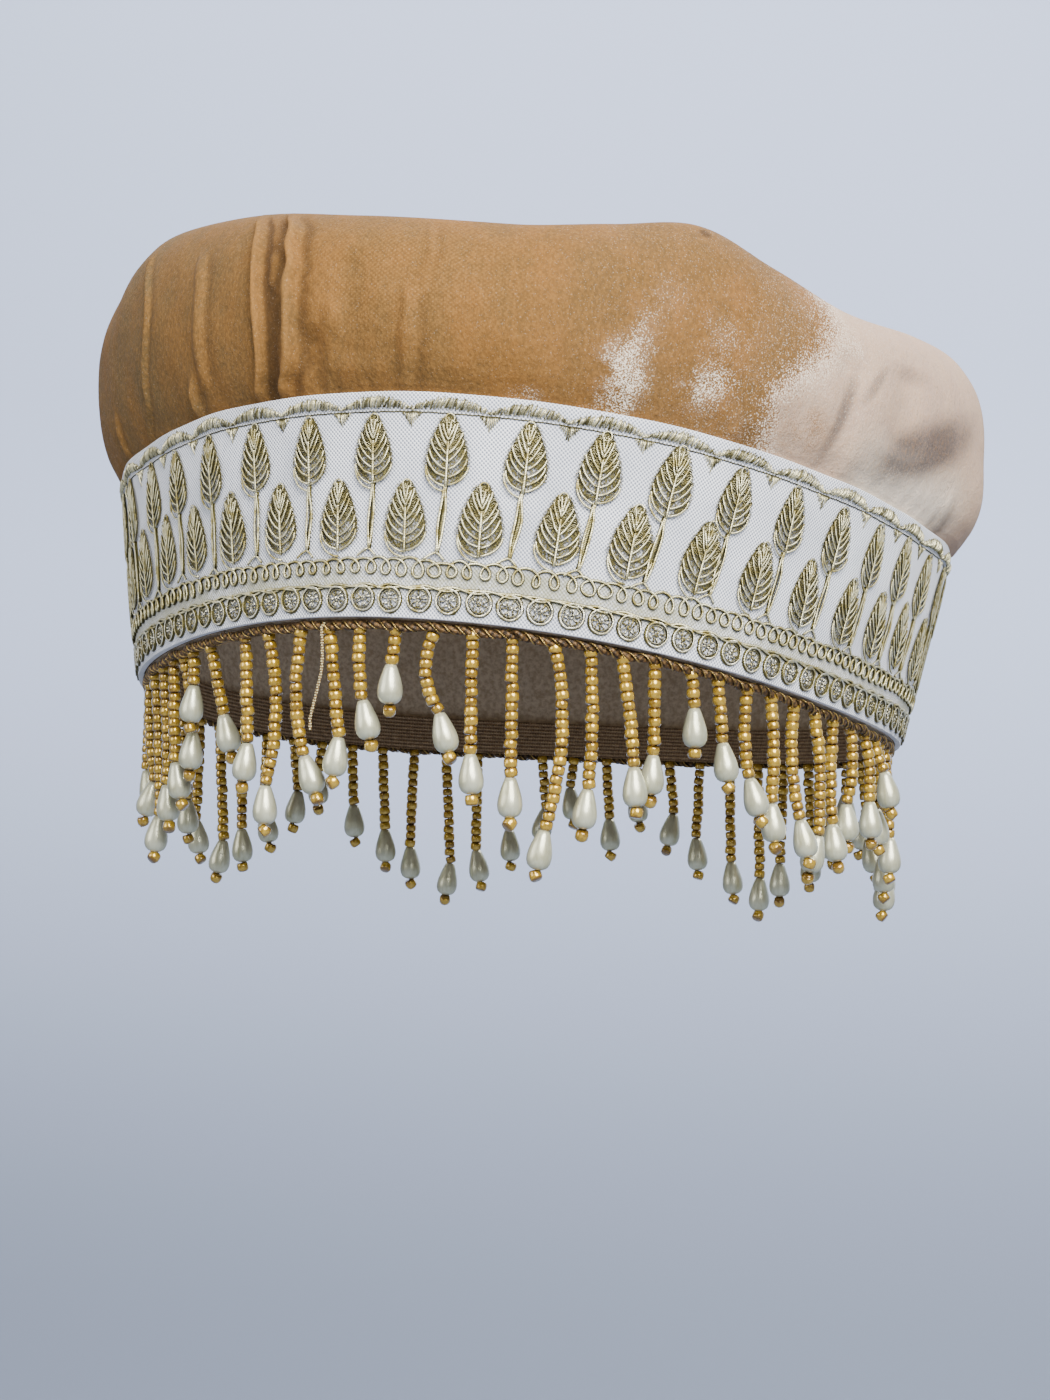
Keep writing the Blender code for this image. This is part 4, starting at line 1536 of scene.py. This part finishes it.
def hem_stitch_marks(settings):
    """Marks of the satin stitches on the hem: a crescent over each tall leaf, a small point between them."""
    random = np.random.default_rng(8)
    spacing = LEAF_GIRTH / settings.leaves
    fold = RIBBON_HEIGHT - HEM_HEIGHT
    places, facings, sizes = [], [], []

    def stitch(arc, low, high, spin):
        height = (low + high) / 2
        places.append(ribbon_place(arc, height, 0.02 * MM))
        facings.append(ribbon_facing(arc, height, spin))
        sizes.append((1.0, (high - low) / MM, 1.0))

    for k in range(settings.leaves):
        middle = TALL_LEAF_START + spacing * k
        middle += 0.5 * slipped(middle)
        for x in np.linspace(-0.49, 0.49, settings.crescent_stitches):
            arch = math.cos(math.pi * x) ** 0.8
            low = fold + MM * (0.25 + random.normal(0, 0.08) + 0.40 * arch)
            high = fold + MM * (0.75 + 2.25 * arch + random.normal(0, 0.14))
            stitch(middle + spacing * x + random.normal(0, 0.04) * MM, low, high, -20 + random.normal(0, 8))
        point = middle + spacing / 2
        for x in np.linspace(-1, 1, 11):
            drop = MM * (0.35 + 2.3 * (1 - abs(x)) ** 1.2) * (1 + random.normal(0, 0.08))
            stitch(point + 1.9 * MM * x, fold - 0.25 * MM - drop, fold - 0.15 * MM, 10 * x)
    return marks("hem stitch marks", places, facings, sizes)


def coil_line(settings, off):
    """One long wire of cursive loops round the ribbon, the loops at the bottom; off lifts it, in millimetres."""
    loops = round(LEAF_GIRTH / settings.coil_pitch)
    steps = 18
    phase = np.arange(loops * steps) * 2 * math.pi / steps
    random = np.random.default_rng(3)
    knots = np.arange(loops + 1)

    def drift(size):
        values = random.normal(0, size, loops + 1)
        values[-1] = values[0]
        return np.interp(phase / (2 * math.pi), knots, values)

    wide = 1.95 * MM * (1 + drift(0.12))
    tall = 1.60 * MM * (1 + drift(0.10))
    arc = TALL_LEAF_START + LEAF_GIRTH * phase / (2 * math.pi * loops) + wide * np.sin(phase) + drift(0.2) * MM
    height = RIBBON_HEIGHT * COIL_LINE + tall * np.cos(phase) + drift(0.15) * MM
    lift = (0.42 + off + 0.16 * np.sin(phase)) * MM
    return ribbon_place(arc, height, lift)


def double_lines(off):
    """Two thin wires that cross along the top of the rings; off lifts them, in millimetres."""
    arcs = LEAF_ARCS[0] + LEAF_GIRTH * np.arange(640) / 640
    lines = []
    for sign, phase in ((1, 0.0), (-1, 0.9)):
        cross = 0.34 * sign * np.cos(arcs * 480) + 0.16 * np.sin(arcs * 870 + phase)
        lift = 0.36 + off + 0.12 * sign * np.sin(arcs * 480)
        lines.append(ribbon_place(arcs, RIBBON_HEIGHT * DOUBLE_LINE + cross * MM, lift * MM))
    return lines


# Fringe


def braid_place():
    """Out and rise of the middle of the braid."""
    line = -RIBBON_THICKNESS - LAYER_GAP
    return line - BRAID_WIDTH / 2 + LAYER_GAP, -LAYER_GAP - BRAID_HEIGHT / 2


BRAID_TURNS, BRAID_ARCS = arc_table(braid_place()[0], 0.0)


def strand_route(number):
    """Beads, place off the even one, and leans of a strand."""
    if number in STRAND_ROUTES:
        return STRAND_ROUTES[number]
    step = number - LAST_FRONT_STRAND if number > 0 else -number
    beads = BEADS_IN_SCALLOP[step % len(BEADS_IN_SCALLOP)]
    lean = OTHER_SWAYS * math.sin(2.4 * number)
    return beads, 0.0, lean * 0.5, lean, OTHER_SWAYS * math.sin(1.7 * number + 1)


def strand_points(number):
    """Root, and points at the middle, at the pearl's top and at the tip of a strand that hangs plumb."""
    beads, shift, middle_lean, top_lean, tip_lean = strand_route(number)
    pitch = (BRAID_ARCS[-1] - BRAID_ARCS[0]) / STRANDS
    arc = FIRST_STRAND_ARC + (number + shift) * pitch
    whole = BRAID_ARCS[-1] - BRAID_ARCS[0]
    turn = np.interp((arc - BRAID_ARCS[0]) % whole + BRAID_ARCS[0], BRAID_ARCS, BRAID_TURNS)
    root = rim_point(turn, *braid_place())
    hang = BRAID_HEIGHT / 2 + beads * BEAD_PITCH

    def hung(drop, lean):
        return root + np.array((STRAND_SWAY * lean, 0.0, -drop))

    return root, hung(hang / 2, middle_lean), hung(hang, top_lean), hung(hang + PEARL_LENGTH + END_BEAD, tip_lean)


def strand_line(root, middle, top, steps=24):
    """Smooth line down the seed beads, through a strand's middle."""
    t = np.linspace(0.0, 1.0, steps)[:, None]
    bend = 2 * middle - (root + top) / 2
    return (1 - t) ** 2 * root + 2 * t * (1 - t) * bend + t * t * top


def strand_numbers():
    half = STRANDS // 2
    return [n for n in range(-half, STRANDS - half) if n != LOST_STRAND]


def bead_mesh(diameter, height):
    """A seed bead, with how near each point is to its waist, for the highlight and shade painted on it."""
    half = height / 2
    r = diameter / 2
    profile = [(0, -half), (r * 0.80, -half), (r * 0.96, -half * 0.68), (r, 0)]
    profile += [(r * 0.96, half * 0.68), (r * 0.80, half), (0, half)]
    mesh = lathe("seed bead", profile, 10)
    waist = mesh.attributes.new("waist", "FLOAT", "POINT")
    waist.data.foreach_set("value", [1 - abs(v.co.z) / half for v in mesh.vertices])
    return mesh


def pearl_mesh():
    """A pear-shaped drop that hangs from the origin down -Z."""
    rows = (
        (1.00, 0.00),
        (0.99, 0.36),
        (0.96, 0.60),
        (0.90, 0.82),
        (0.80, 0.96),
        (0.68, 1.00),
        (0.54, 0.95),
        (0.40, 0.84),
        (0.26, 0.70),
        (0.13, 0.56),
        (0.03, 0.42),
        (0.00, 0.00),
    )
    return lathe("pearl", [(PEARL_DIAMETER / 2 * w, -PEARL_LENGTH * at) for at, w in rows], 16)


def drop_facing(top, tip):
    """Turn that hangs a drop along the line from its top to its tip."""
    return Vector((top - tip).tolist()).to_track_quat("Z", "Y").to_matrix()


def thread_route():
    """The loose end of sewing thread at the front: points listed as (turn, out, rise) in millimetres."""
    return (
        (-14.4, -1.6, -1.0),
        (-14.6, -1.0, -2.2),
        (-14.3, -1.0, -4.4),
        (-14.0, -1.1, -8.2),
        (-14.0, -1.3, -11.0),
        (-14.6, -1.6, -15.4),
        (-15.4, -1.8, -20.8),
        (-15.2, -1.9, -23.4),
    )


# Settings


def colour(name, description, *levels):
    return bpy.props.FloatVectorProperty(
        name=name, description=description, default=srgb(*levels), subtype="COLOR", size=3, min=0.0, max=1.0
    )


class CapVelvet(bpy.types.PropertyGroup):
    thickness: bpy.props.FloatProperty(
        name="Thickness", description="Thickness of the velvet", default=0.002, unit="LENGTH"
    )
    sheen_weight: bpy.props.FloatProperty(
        name="Sheen", description="How much the pile catches grazing light", default=0.07, subtype="FACTOR"
    )
    pile: colour("Pile", "Velvet seen along the pile", 123, 83, 37)
    # Pale pile tips in the nap and knit, also used as a painted highlight on the tucks' crests.
    pile_tip: colour("Pile tips", "Pale tips of the pile", 166, 121, 64)
    shade: colour("Shade", "Velvet seen into the pile", 104, 75, 37)
    # Partly the pile's darker tone and partly painted shade on the velvet's left side; also the nap's dark flecks.
    left_shade: colour("Left shade", "Velvet brushed away from the light", 89, 73, 45)
    # Painted shade in the creases beside the tucks and in a pucker at the top seam.
    crease: colour("Crease", "Velvet in the creases beside the tucks", 56, 38, 18)
    # Painted sheen where the pile is turned; also the tint of the velvet's real sheen.
    sheen: colour("Sheen colour", "Velvet where the pile is turned", 200, 170, 144)
    # Darker tone of the painted sheen, in random clouds and flecks.
    sheen_shade: colour("Sheen shade", "Turned pile in its hollows", 188, 160, 140)
    # Painted shade of a dent, a fold and low creases in the painted sheen.
    painted_dent_shade: colour("Smudge", "Grey where the turned pile is rubbed", 62, 61, 65)
    # Painted glints of the crushed pile, and painted light low on the sheen.
    glint: colour("Glint", "Crushed pile that glints", 255, 240, 216)
    knit_turns: bpy.props.FloatProperty(
        name="Knit across", description="Radians of the knitted back's pattern for each degree", default=9.0
    )
    knit_shares: bpy.props.FloatProperty(
        name="Knit up", description="Radians of the knitted back's pattern over the velvet's height", default=262.0
    )
    back: colour("Back", "Woven back of the velvet", 214, 196, 168)
    back_shade: colour("Back shade", "Woven back in its hollows", 182, 160, 130)


class CapRibbon(bpy.types.PropertyGroup):
    thickness: bpy.props.FloatProperty(
        name="Thickness", description="Thickness of the ribbon", default=0.0012, unit="LENGTH"
    )
    weave: bpy.props.FloatProperty(
        name="Weave", description="Two threads of the weave", default=0.00086, unit="LENGTH"
    )
    leaves: bpy.props.IntProperty(name="Leaves", description="Tall leaves round the ribbon", default=38, min=3)
    leaf_height: bpy.props.FloatProperty(
        name="Leaf height", description="Height of a tall leaf", default=0.0143, unit="LENGTH"
    )
    leaf_width: bpy.props.FloatProperty(
        name="Leaf width", description="Width of a tall leaf", default=0.0088, unit="LENGTH"
    )
    coil_pitch: bpy.props.FloatProperty(
        name="Coil pitch", description="From one cursive loop to the next", default=0.0037, unit="LENGTH"
    )
    ring_pitch: bpy.props.FloatProperty(
        name="Ring pitch", description="From one ring to the next, along the leaf line", default=0.0066, unit="LENGTH"
    )
    crescent_stitches: bpy.props.IntProperty(
        name="Crescent stitches", description="Satin stitches in each crescent", default=46, min=5
    )
    cloth: colour("Cloth", "White of the ribbon", 254, 254, 255)
    cloth_shade: colour("Cloth shade", "Between the ribbon's threads", 136, 142, 154)
    haze: colour("Haze", "Fine gold threads behind the lower stitching", 160, 156, 118)
    thread: colour("Metal thread", "Bright side of the metal thread", 249, 240, 194)
    thread_dark: colour("Tarnish", "Tarnished metal thread", 176, 160, 98)
    ring: colour("Ring thread", "Brighter metal thread in the rings", 250, 244, 216)
    # Painted shade on the sides of the metal thread, the khaki tone of the satin stitches, and the dark underlying
    # wires, which are partly painted shadow.
    khaki_and_side_shade: colour("Thread's side", "Khaki sides of the metal thread", 92, 85, 48)
    net: colour("Leaf net", "Net that fills the leaves", 150, 140, 86)
    net_dark: colour("Leaf net shade", "Dark gaps in the leaves' net", 64, 58, 30)


class CapFringe(bpy.types.PropertyGroup):
    bead_diameter: bpy.props.FloatProperty(
        name="Bead", description="Diameter of a seed bead", default=0.0028, unit="LENGTH"
    )
    braid: colour("Braid", "Gold yarn of the braid", 118, 88, 48)
    braid_shade: colour("Braid shade", "Brown core of the braid", 44, 32, 18)
    tinsel: colour("Tinsel", "Fine gold thread wound round the braid", 196, 164, 96)
    tape: colour("Tape", "Tape inside the rim", 168, 140, 104)
    tape_shade: colour("Tape shade", "Tape in its hollows", 122, 96, 66)
    bead: colour("Seed bead", "Gold-lined glass", 200, 162, 50)
    # Deeper amber of random tone, and painted shade at a bead's ends.
    bead_amber_and_shade: colour("Seed bead shade", "Deeper amber at a bead's ends", 124, 90, 20)
    pearl: colour("Pearl", "Cream of the pearls", 204, 203, 174)
    pearl_shade: colour("Pearl shade", "Warmer cloud in the pearls", 178, 175, 140)
    cotton: colour("Cotton", "Sewing thread", 200, 188, 140)


class CapStage(bpy.types.PropertyGroup):
    backdrop: colour("Backdrop", "Backdrop at the cap's height", 190, 202, 230)
    # Painted shade: the backdrop darkens towards this colour lower down, and the floor has it.
    backdrop_low_shade: colour("Backdrop foot", "Backdrop and floor lower down", 112, 120, 136)
    floor_drop: bpy.props.FloatProperty(
        name="Floor", description="How far the floor lies below the cap", default=0.5, unit="LENGTH"
    )
    key: bpy.props.FloatProperty(name="Key light", description="Power of the soft key light", default=142.0, unit="POWER")
    fill: bpy.props.FloatProperty(name="Fill light", description="Power of the fill light", default=16.0, unit="POWER")
    wash: bpy.props.FloatProperty(name="Wash", description="Power of the light on the backdrop", default=30.0, unit="POWER")
    spark: bpy.props.FloatProperty(
        name="Spark", description="Power of the small light that glints in beads and thread", default=5.0, unit="POWER"
    )
    sky_tint: colour("Sky colour", "Colour of the light from all round", 238, 243, 255)
    sky: bpy.props.FloatProperty(name="Sky", description="Strength of the light from all round", default=0.34)


# Operators


class AddVelvetSide(bpy.types.Operator):
    """Add the velvet side of the crown, with its tucks"""

    bl_idname = "velvet_cap.add_side"
    bl_label = "Velvet side"

    def execute(self, context):
        settings = context.scene.cap_velvet
        side = link_piece(
            "velvet_side", velvet_side_mesh(settings), velvet_finish(settings), lining_finish(settings)
        )
        settle(side, "velvet", "crown_side")
        return {"FINISHED"}


class AddVelvetTop(bpy.types.Operator):
    """Add the domed top panel of the crown"""

    bl_idname = "velvet_cap.add_top"
    bl_label = "Velvet top"

    def execute(self, context):
        settings = context.scene.cap_velvet
        top = link_piece("velvet_top", velvet_top_mesh(settings), velvet_finish(settings), lining_finish(settings))
        settle(top, "velvet", "crown_top")
        return {"FINISHED"}


class AddRibbon(bpy.types.Operator):
    """Add the white ribbon with its folded hem"""

    bl_idname = "velvet_cap.add_ribbon"
    bl_label = "Ribbon"

    def execute(self, context):
        settings = context.scene.cap_ribbon
        ribbon = link_piece("ribbon_cloth", ribbon_mesh(settings), ribbon_finish(settings))
        settle(ribbon, "ribbon", "ribbon_band")
        return {"FINISHED"}


class AddLeaves(bpy.types.Operator):
    """Add the couched leaves, tall and small, with the net that fills them"""

    bl_idname = "velvet_cap.add_leaves"
    bl_label = "Leaves"

    def execute(self, context):
        settings = context.scene.cap_ribbon
        gilt = gilt_finish("metal thread", settings.thread, settings.thread_dark, 0.32, settings.khaki_and_side_shade)
        net = leaf_ground_finish(settings)
        count, height, width = settings.leaves, settings.leaf_height, settings.leaf_width
        stem = RIBBON_HEIGHT * (TALL_LEAF_FOOT - SMALL_LEAF_FOOT)
        rows = (
            ("tall", TALL_LEAF_FOOT, 0.0, height, width, stem),
            ("small", SMALL_LEAF_FOOT, 0.48, height * 1.03, width * 1.05, 0.0),
        )
        for name, foot, offset, tall, wide, stalk in rows:
            motifs = [leaf_wires(tall, wide, seed, stalk) for seed in (1, 2, 3)]
            wires = stamp(f"{name}_leaves", leaf_marks(name, count, foot, offset, 4), motifs, 5, gilt)
            settle(wires, "ribbon")
            grounds = stamp(
                f"{name}_leaf_net", leaf_marks(name, count, foot, offset, 4), [leaf_ground(tall, wide)], 5, net
            )
            settle(grounds, "ribbon")
        return {"FINISHED"}


class AddBorders(bpy.types.Operator):
    """Add the rings, the cursive coil, the double line and the hem's satin stitches"""

    bl_idname = "velvet_cap.add_borders"
    bl_label = "Borders"

    def execute(self, context):
        settings = context.scene.cap_ribbon
        gilt = gilt_finish("border thread", settings.thread, settings.thread_dark, 0.32)
        rim = gilt_finish("ring thread", settings.ring, settings.thread_dark, 0.28, settings.khaki_and_side_shade)
        # Wires under the border lines, partly dark thread and partly painted shadow; the fold line's thread takes the
        # same finish.
        under = gilt_finish("border thread's foot", settings.khaki_and_side_shade, settings.net_dark, 0.42)
        satin = satin_finish(settings)
        wire = wire_tree()
        for name, lines, radius in (
            ("coil_row", lambda lift: [coil_line(settings, lift)], 0.24),
            ("double_line", double_lines, 0.22),
        ):
            # Each line gets a wider dark wire laid under it, partly dark thread and partly painted shadow.
            for part, off, wider, finish in (("", 0.10, 1.0, gilt), ("_foot", -0.13, 1.5, under)):
                chains = polylines(f"{name} chains", lines(off), closed=True)
                values = {"Radius": radius * wider * MM, "Sides": 5, "Material": finish}
                settle(grow(name + part, chains, wire, values), "ribbon")
        arcs = LEAF_ARCS[0] + LEAF_GIRTH * np.arange(480) / 480
        fold = ribbon_place(arcs, RIBBON_HEIGHT - HEM_HEIGHT - 0.1 * MM + 0.05 * MM * np.sin(arcs * 1900), 0.1 * MM)
        chain = polylines("fold chain", [fold], closed=True)
        settle(grow("fold_line", chain, wire, {"Radius": 0.13 * MM, "Sides": 5, "Material": under}), "ribbon")
        count = round(LEAF_GIRTH / settings.ring_pitch)
        random = np.random.default_rng(6)
        places, facings = [], []
        for k in range(count):
            arc = LEAF_GIRTH * k / count + random.normal(0, 0.12) * MM
            height = RIBBON_HEIGHT * RING_LINE + random.normal(0, 0.1) * MM
            places.append(ribbon_place(arc, height, 0.04 * MM))
            facings.append(ribbon_facing(arc, height, random.uniform(0, 360)))
        rings = [ring_wires(2.5 * MM, seed) for seed in (1, 2, 3)]
        settle(stamp("ring_row", marks("rings", places, facings), rings, 7, rim), "ribbon")
        stitches = [stitch_mesh(seed) for seed in (0, 1, 2)]
        settle(stamp("hem_stitches", hem_stitch_marks(settings), stitches, 9, satin), "ribbon")
        return {"FINISHED"}


class AddBraid(bpy.types.Operator):
    """Add the twisted braid under the ribbon and the tape behind it"""

    bl_idname = "velvet_cap.add_braid"
    bl_label = "Braid and tape"

    def execute(self, context):
        settings = context.scene.cap_fringe
        out, level = braid_place()
        turns = np.linspace(-180, 180, 361)[:-1]
        rope = rope_tree()
        yarn = braid_finish(settings)
        slack = MM * (0.16 * np.sin(np.radians(turns) * 37) + 0.12 * np.sin(np.radians(turns) * 59 + 1))
        tinsel = gilt_finish("braid tinsel", settings.tinsel, settings.braid_shade, 0.35)
        for name, radius, offset, phase, finish in (
            ("braid_plies", 0.55, 0.52, 0.0, yarn),
            ("braid_tinsel", 0.15, 0.90, 1.2, tinsel),
        ):
            chain = polylines(name, [rim_point(turns, out + 0.9 * MM + slack, level + 0.3 * MM + slack)], closed=True)
            values = {
                "Ply Radius": radius * MM,
                "Ply Offset": offset * MM,
                "Ply Pitch": 5.6 * MM,
                "Phase": phase,
                "Step": 0.45 * MM,
                "Sides": 7,
                "Material": finish,
            }
            settle(grow(name, chain, rope, values), "beads")
        face = -RIBBON_THICKNESS - LAYER_GAP - 0.002 - LAYER_GAP
        lean = TAPE_HEIGHT * WALL_FLARE
        section = (
            (face, -1.2 * MM),
            (face, 0.0),
            (face + lean, TAPE_HEIGHT),
            (face + lean - TAPE_THICKNESS, TAPE_HEIGHT),
            (face - TAPE_THICKNESS, 0.0),
            (face - TAPE_THICKNESS, -1.6 * MM),
        )
        rows = [rim_point(turns, o, r) for o, r in section]
        places = np.zeros((len(rows), len(turns) + 1, 2))
        places[:, :, 0] = np.arange(len(turns) + 1) / len(turns) * 0.55
        places[:, :, 1] = np.array([r for _, r in section])[:, None]
        tape = skin("tape", rows, places)
        smooth_mesh(tape, 40)
        settle(link_piece("inner_tape", tape, tape_finish(settings)), "beads", "bead_fringe")
        return {"FINISHED"}


class AddStrands(bpy.types.Operator):
    """Add the strands: seed beads, pearl drops, end beads and the thread that they hang on"""

    bl_idname = "velvet_cap.add_strands"
    bl_label = "Strands"

    def execute(self, context):
        settings = context.scene.cap_fringe
        glass = bead_finish(settings)
        runs, tops, tips, cores = [], [], [], []
        for number in strand_numbers():
            root, middle, top, tip = strand_points(number)
            line = strand_line(root, middle, top)
            cores.append(np.vstack((line, [top + (tip - top) * 0.98])))
            beads = strand_route(number)[0]
            lengths = np.concatenate(([0.0], np.cumsum(np.linalg.norm(np.diff(line, axis=0), axis=1))))
            first = lengths[-1] - (beads + 0.55) * BEAD_PITCH
            inside = np.linspace(first, lengths[-1] - BEAD_PITCH * 0.45, 16)
            runs.append(np.stack([np.interp(inside, lengths, line[:, c]) for c in range(3)], axis=-1))
            tops.append(top)
            tips.append(tip)
        bead = link_piece("seed bead", bead_mesh(settings.bead_diameter, BEAD_PITCH * 0.98))
        values = {"Bead": bead, "Pitch": BEAD_PITCH * 0.999, "Seed": 2, "Material": glass}
        settle(grow("seed_beads", polylines("runs", runs), bead_tree(), values), "beads", "bead_fringe")
        facings = [drop_facing(top, tip) for top, tip in zip(tops, tips)]
        drops = stamp("pearl_drops", marks("drops", tops, facings), [pearl_mesh()], 1, pearl_finish(settings))
        settle(drops, "beads")
        ends = []
        for top, tip in zip(tops, tips):
            down = (tip - top) / np.linalg.norm(tip - top)
            middle = top + down * (PEARL_LENGTH + END_BEAD * 0.45)
            ends.append([middle, middle + down * 0.0002])
        values = {"Bead": bead, "Pitch": 0.0004, "Seed": 3, "Material": glass}
        settle(grow("end_beads", polylines("ends", ends), bead_tree(), values), "beads")
        bpy.data.objects.remove(bead)
        cotton = thread_finish(settings)
        values = {"Radius": 0.2 * MM, "Sides": 5, "Material": cotton}
        settle(grow("strand_threads", polylines("cores", cores), wire_tree(), values), "beads")
        points = np.array([rim_point(turn, out * MM, rise * MM) for turn, out, rise in thread_route()])
        line = np.stack([np.interp(np.linspace(0, 7, 60), range(8), points[:, c]) for c in range(3)], axis=-1)
        rope = {"Ply Radius": 0.19 * MM, "Ply Offset": 0.17 * MM, "Ply Pitch": 1.6 * MM}
        rope.update({"Step": 0.2 * MM, "Sides": 5, "Material": cotton})
        settle(grow("loose_thread", polylines("loose", [line]), rope_tree(), rope), "beads")
        return {"FINISHED"}


class AddStage(bpy.types.Operator):
    """Add the pale floor and backdrop, the soft lights and the camera"""

    bl_idname = "velvet_cap.add_stage"
    bl_label = "Stage"

    def execute(self, context):
        settings = context.scene.cap_stage
        floor = cad_box[0][2] - settings.floor_drop
        profile = [(-3.0, floor), (0.9, floor)]
        profile += [(0.9 + 0.8 * math.sin(a), floor + 0.8 * (1 - math.cos(a))) for a in np.radians(range(6, 91, 6))]
        profile.append((1.7, floor + 3.2))
        points, faces = [], []
        for x in (-3.5, 3.5):
            points += [(x, y, z) for y, z in profile]
        for k in range(len(profile) - 1):
            faces.append((k, k + len(profile), k + len(profile) + 1, k + 1))
        mesh = bpy.data.meshes.new("backdrop")
        mesh.from_pydata(points, [], faces)
        smooth_mesh(mesh)
        link_piece("backdrop", mesh, backdrop_finish(settings))

        add_soft_light("key", (1.0, -1.6, 1.2), (0, 0, 0), 1.7, settings.key)
        add_soft_light("fill", (-1.3, -1.0, 0.5), (0, 0, 0), 1.2, settings.fill)
        add_soft_light("back", (0.5, 0.8, 1.1), (0, 0, 0), 0.9, settings.fill)
        add_soft_light("spark", (0.35, -1.2, 0.8), (0, 0, 0), 0.12, settings.spark)
        add_soft_light("wash", (-0.3, 0.7, 1.5), (-0.3, 1.7, 0.25), 0.9, settings.wash)
        world = bpy.data.worlds.new("studio")
        world.use_nodes = True
        sky = world.node_tree.nodes["Background"]
        sky.inputs["Color"].default_value = (*settings.sky_tint, 1.0)
        sky.inputs["Strength"].default_value = settings.sky
        context.scene.world = world

        camera = bpy.data.cameras.new("camera")
        camera.sensor_width = 36
        camera.lens = CAMERA_LENS
        view = bpy.data.objects.new("camera", camera)
        view.location = CAMERA_PLACE
        view.rotation_euler = (math.radians(90), 0.0, math.radians(CAMERA_TURN))
        context.scene.collection.objects.link(view)
        context.scene.camera = view
        return {"FINISHED"}


def add_soft_light(name, place, aim, size, power):
    """A round area light at a place, turned to face the point that it is aimed at."""
    light = bpy.data.lights.new(name, "AREA")
    light.shape = "DISK"
    light.size = size
    light.energy = power
    lamp = bpy.data.objects.new(name, light)
    lamp.location = place
    lamp.rotation_euler = (Vector(place) - Vector(aim)).to_track_quat("Z", "Y").to_euler()
    bpy.context.scene.collection.objects.link(lamp)


class VelvetCapPanel(bpy.types.Panel):
    """Lists the cap's pieces and their settings"""

    bl_idname = "VIEW3D_PT_velvet_cap"
    bl_label = "Velvet cap"
    bl_space_type = "VIEW_3D"
    bl_region_type = "UI"
    bl_category = "Velvet Cap"

    def draw(self, context):
        for group, operators in GROUPS:
            settings = getattr(context.scene, group)
            box = self.layout.box()
            for name in settings.__annotations__:
                box.prop(settings, name)
            for operator in operators:
                box.operator(operator.bl_idname)


GROUPS = (
    ("cap_velvet", (AddVelvetSide, AddVelvetTop)),
    ("cap_ribbon", (AddRibbon, AddLeaves, AddBorders)),
    ("cap_fringe", (AddBraid, AddStrands)),
    ("cap_stage", (AddStage,)),
)
SETTINGS = {"cap_velvet": CapVelvet, "cap_ribbon": CapRibbon, "cap_fringe": CapFringe, "cap_stage": CapStage}


def register():
    for name, group in SETTINGS.items():
        bpy.utils.register_class(group)
        setattr(bpy.types.Scene, name, bpy.props.PointerProperty(type=group))
    for _, operators in GROUPS:
        for operator in operators:
            bpy.utils.register_class(operator)
    bpy.utils.register_class(VelvetCapPanel)


def unregister():
    bpy.utils.unregister_class(VelvetCapPanel)
    for _, operators in GROUPS:
        for operator in operators:
            bpy.utils.unregister_class(operator)
    for name, group in SETTINGS.items():
        delattr(bpy.types.Scene, name)
        bpy.utils.unregister_class(group)


def main():
    register()
    bpy.ops.velvet_cap.add_stage()
    bpy.ops.velvet_cap.add_side()
    bpy.ops.velvet_cap.add_top()
    bpy.ops.velvet_cap.add_ribbon()
    bpy.ops.velvet_cap.add_leaves()
    bpy.ops.velvet_cap.add_borders()
    bpy.ops.velvet_cap.add_braid()
    bpy.ops.velvet_cap.add_strands()


if __name__ == "__main__":
    main()
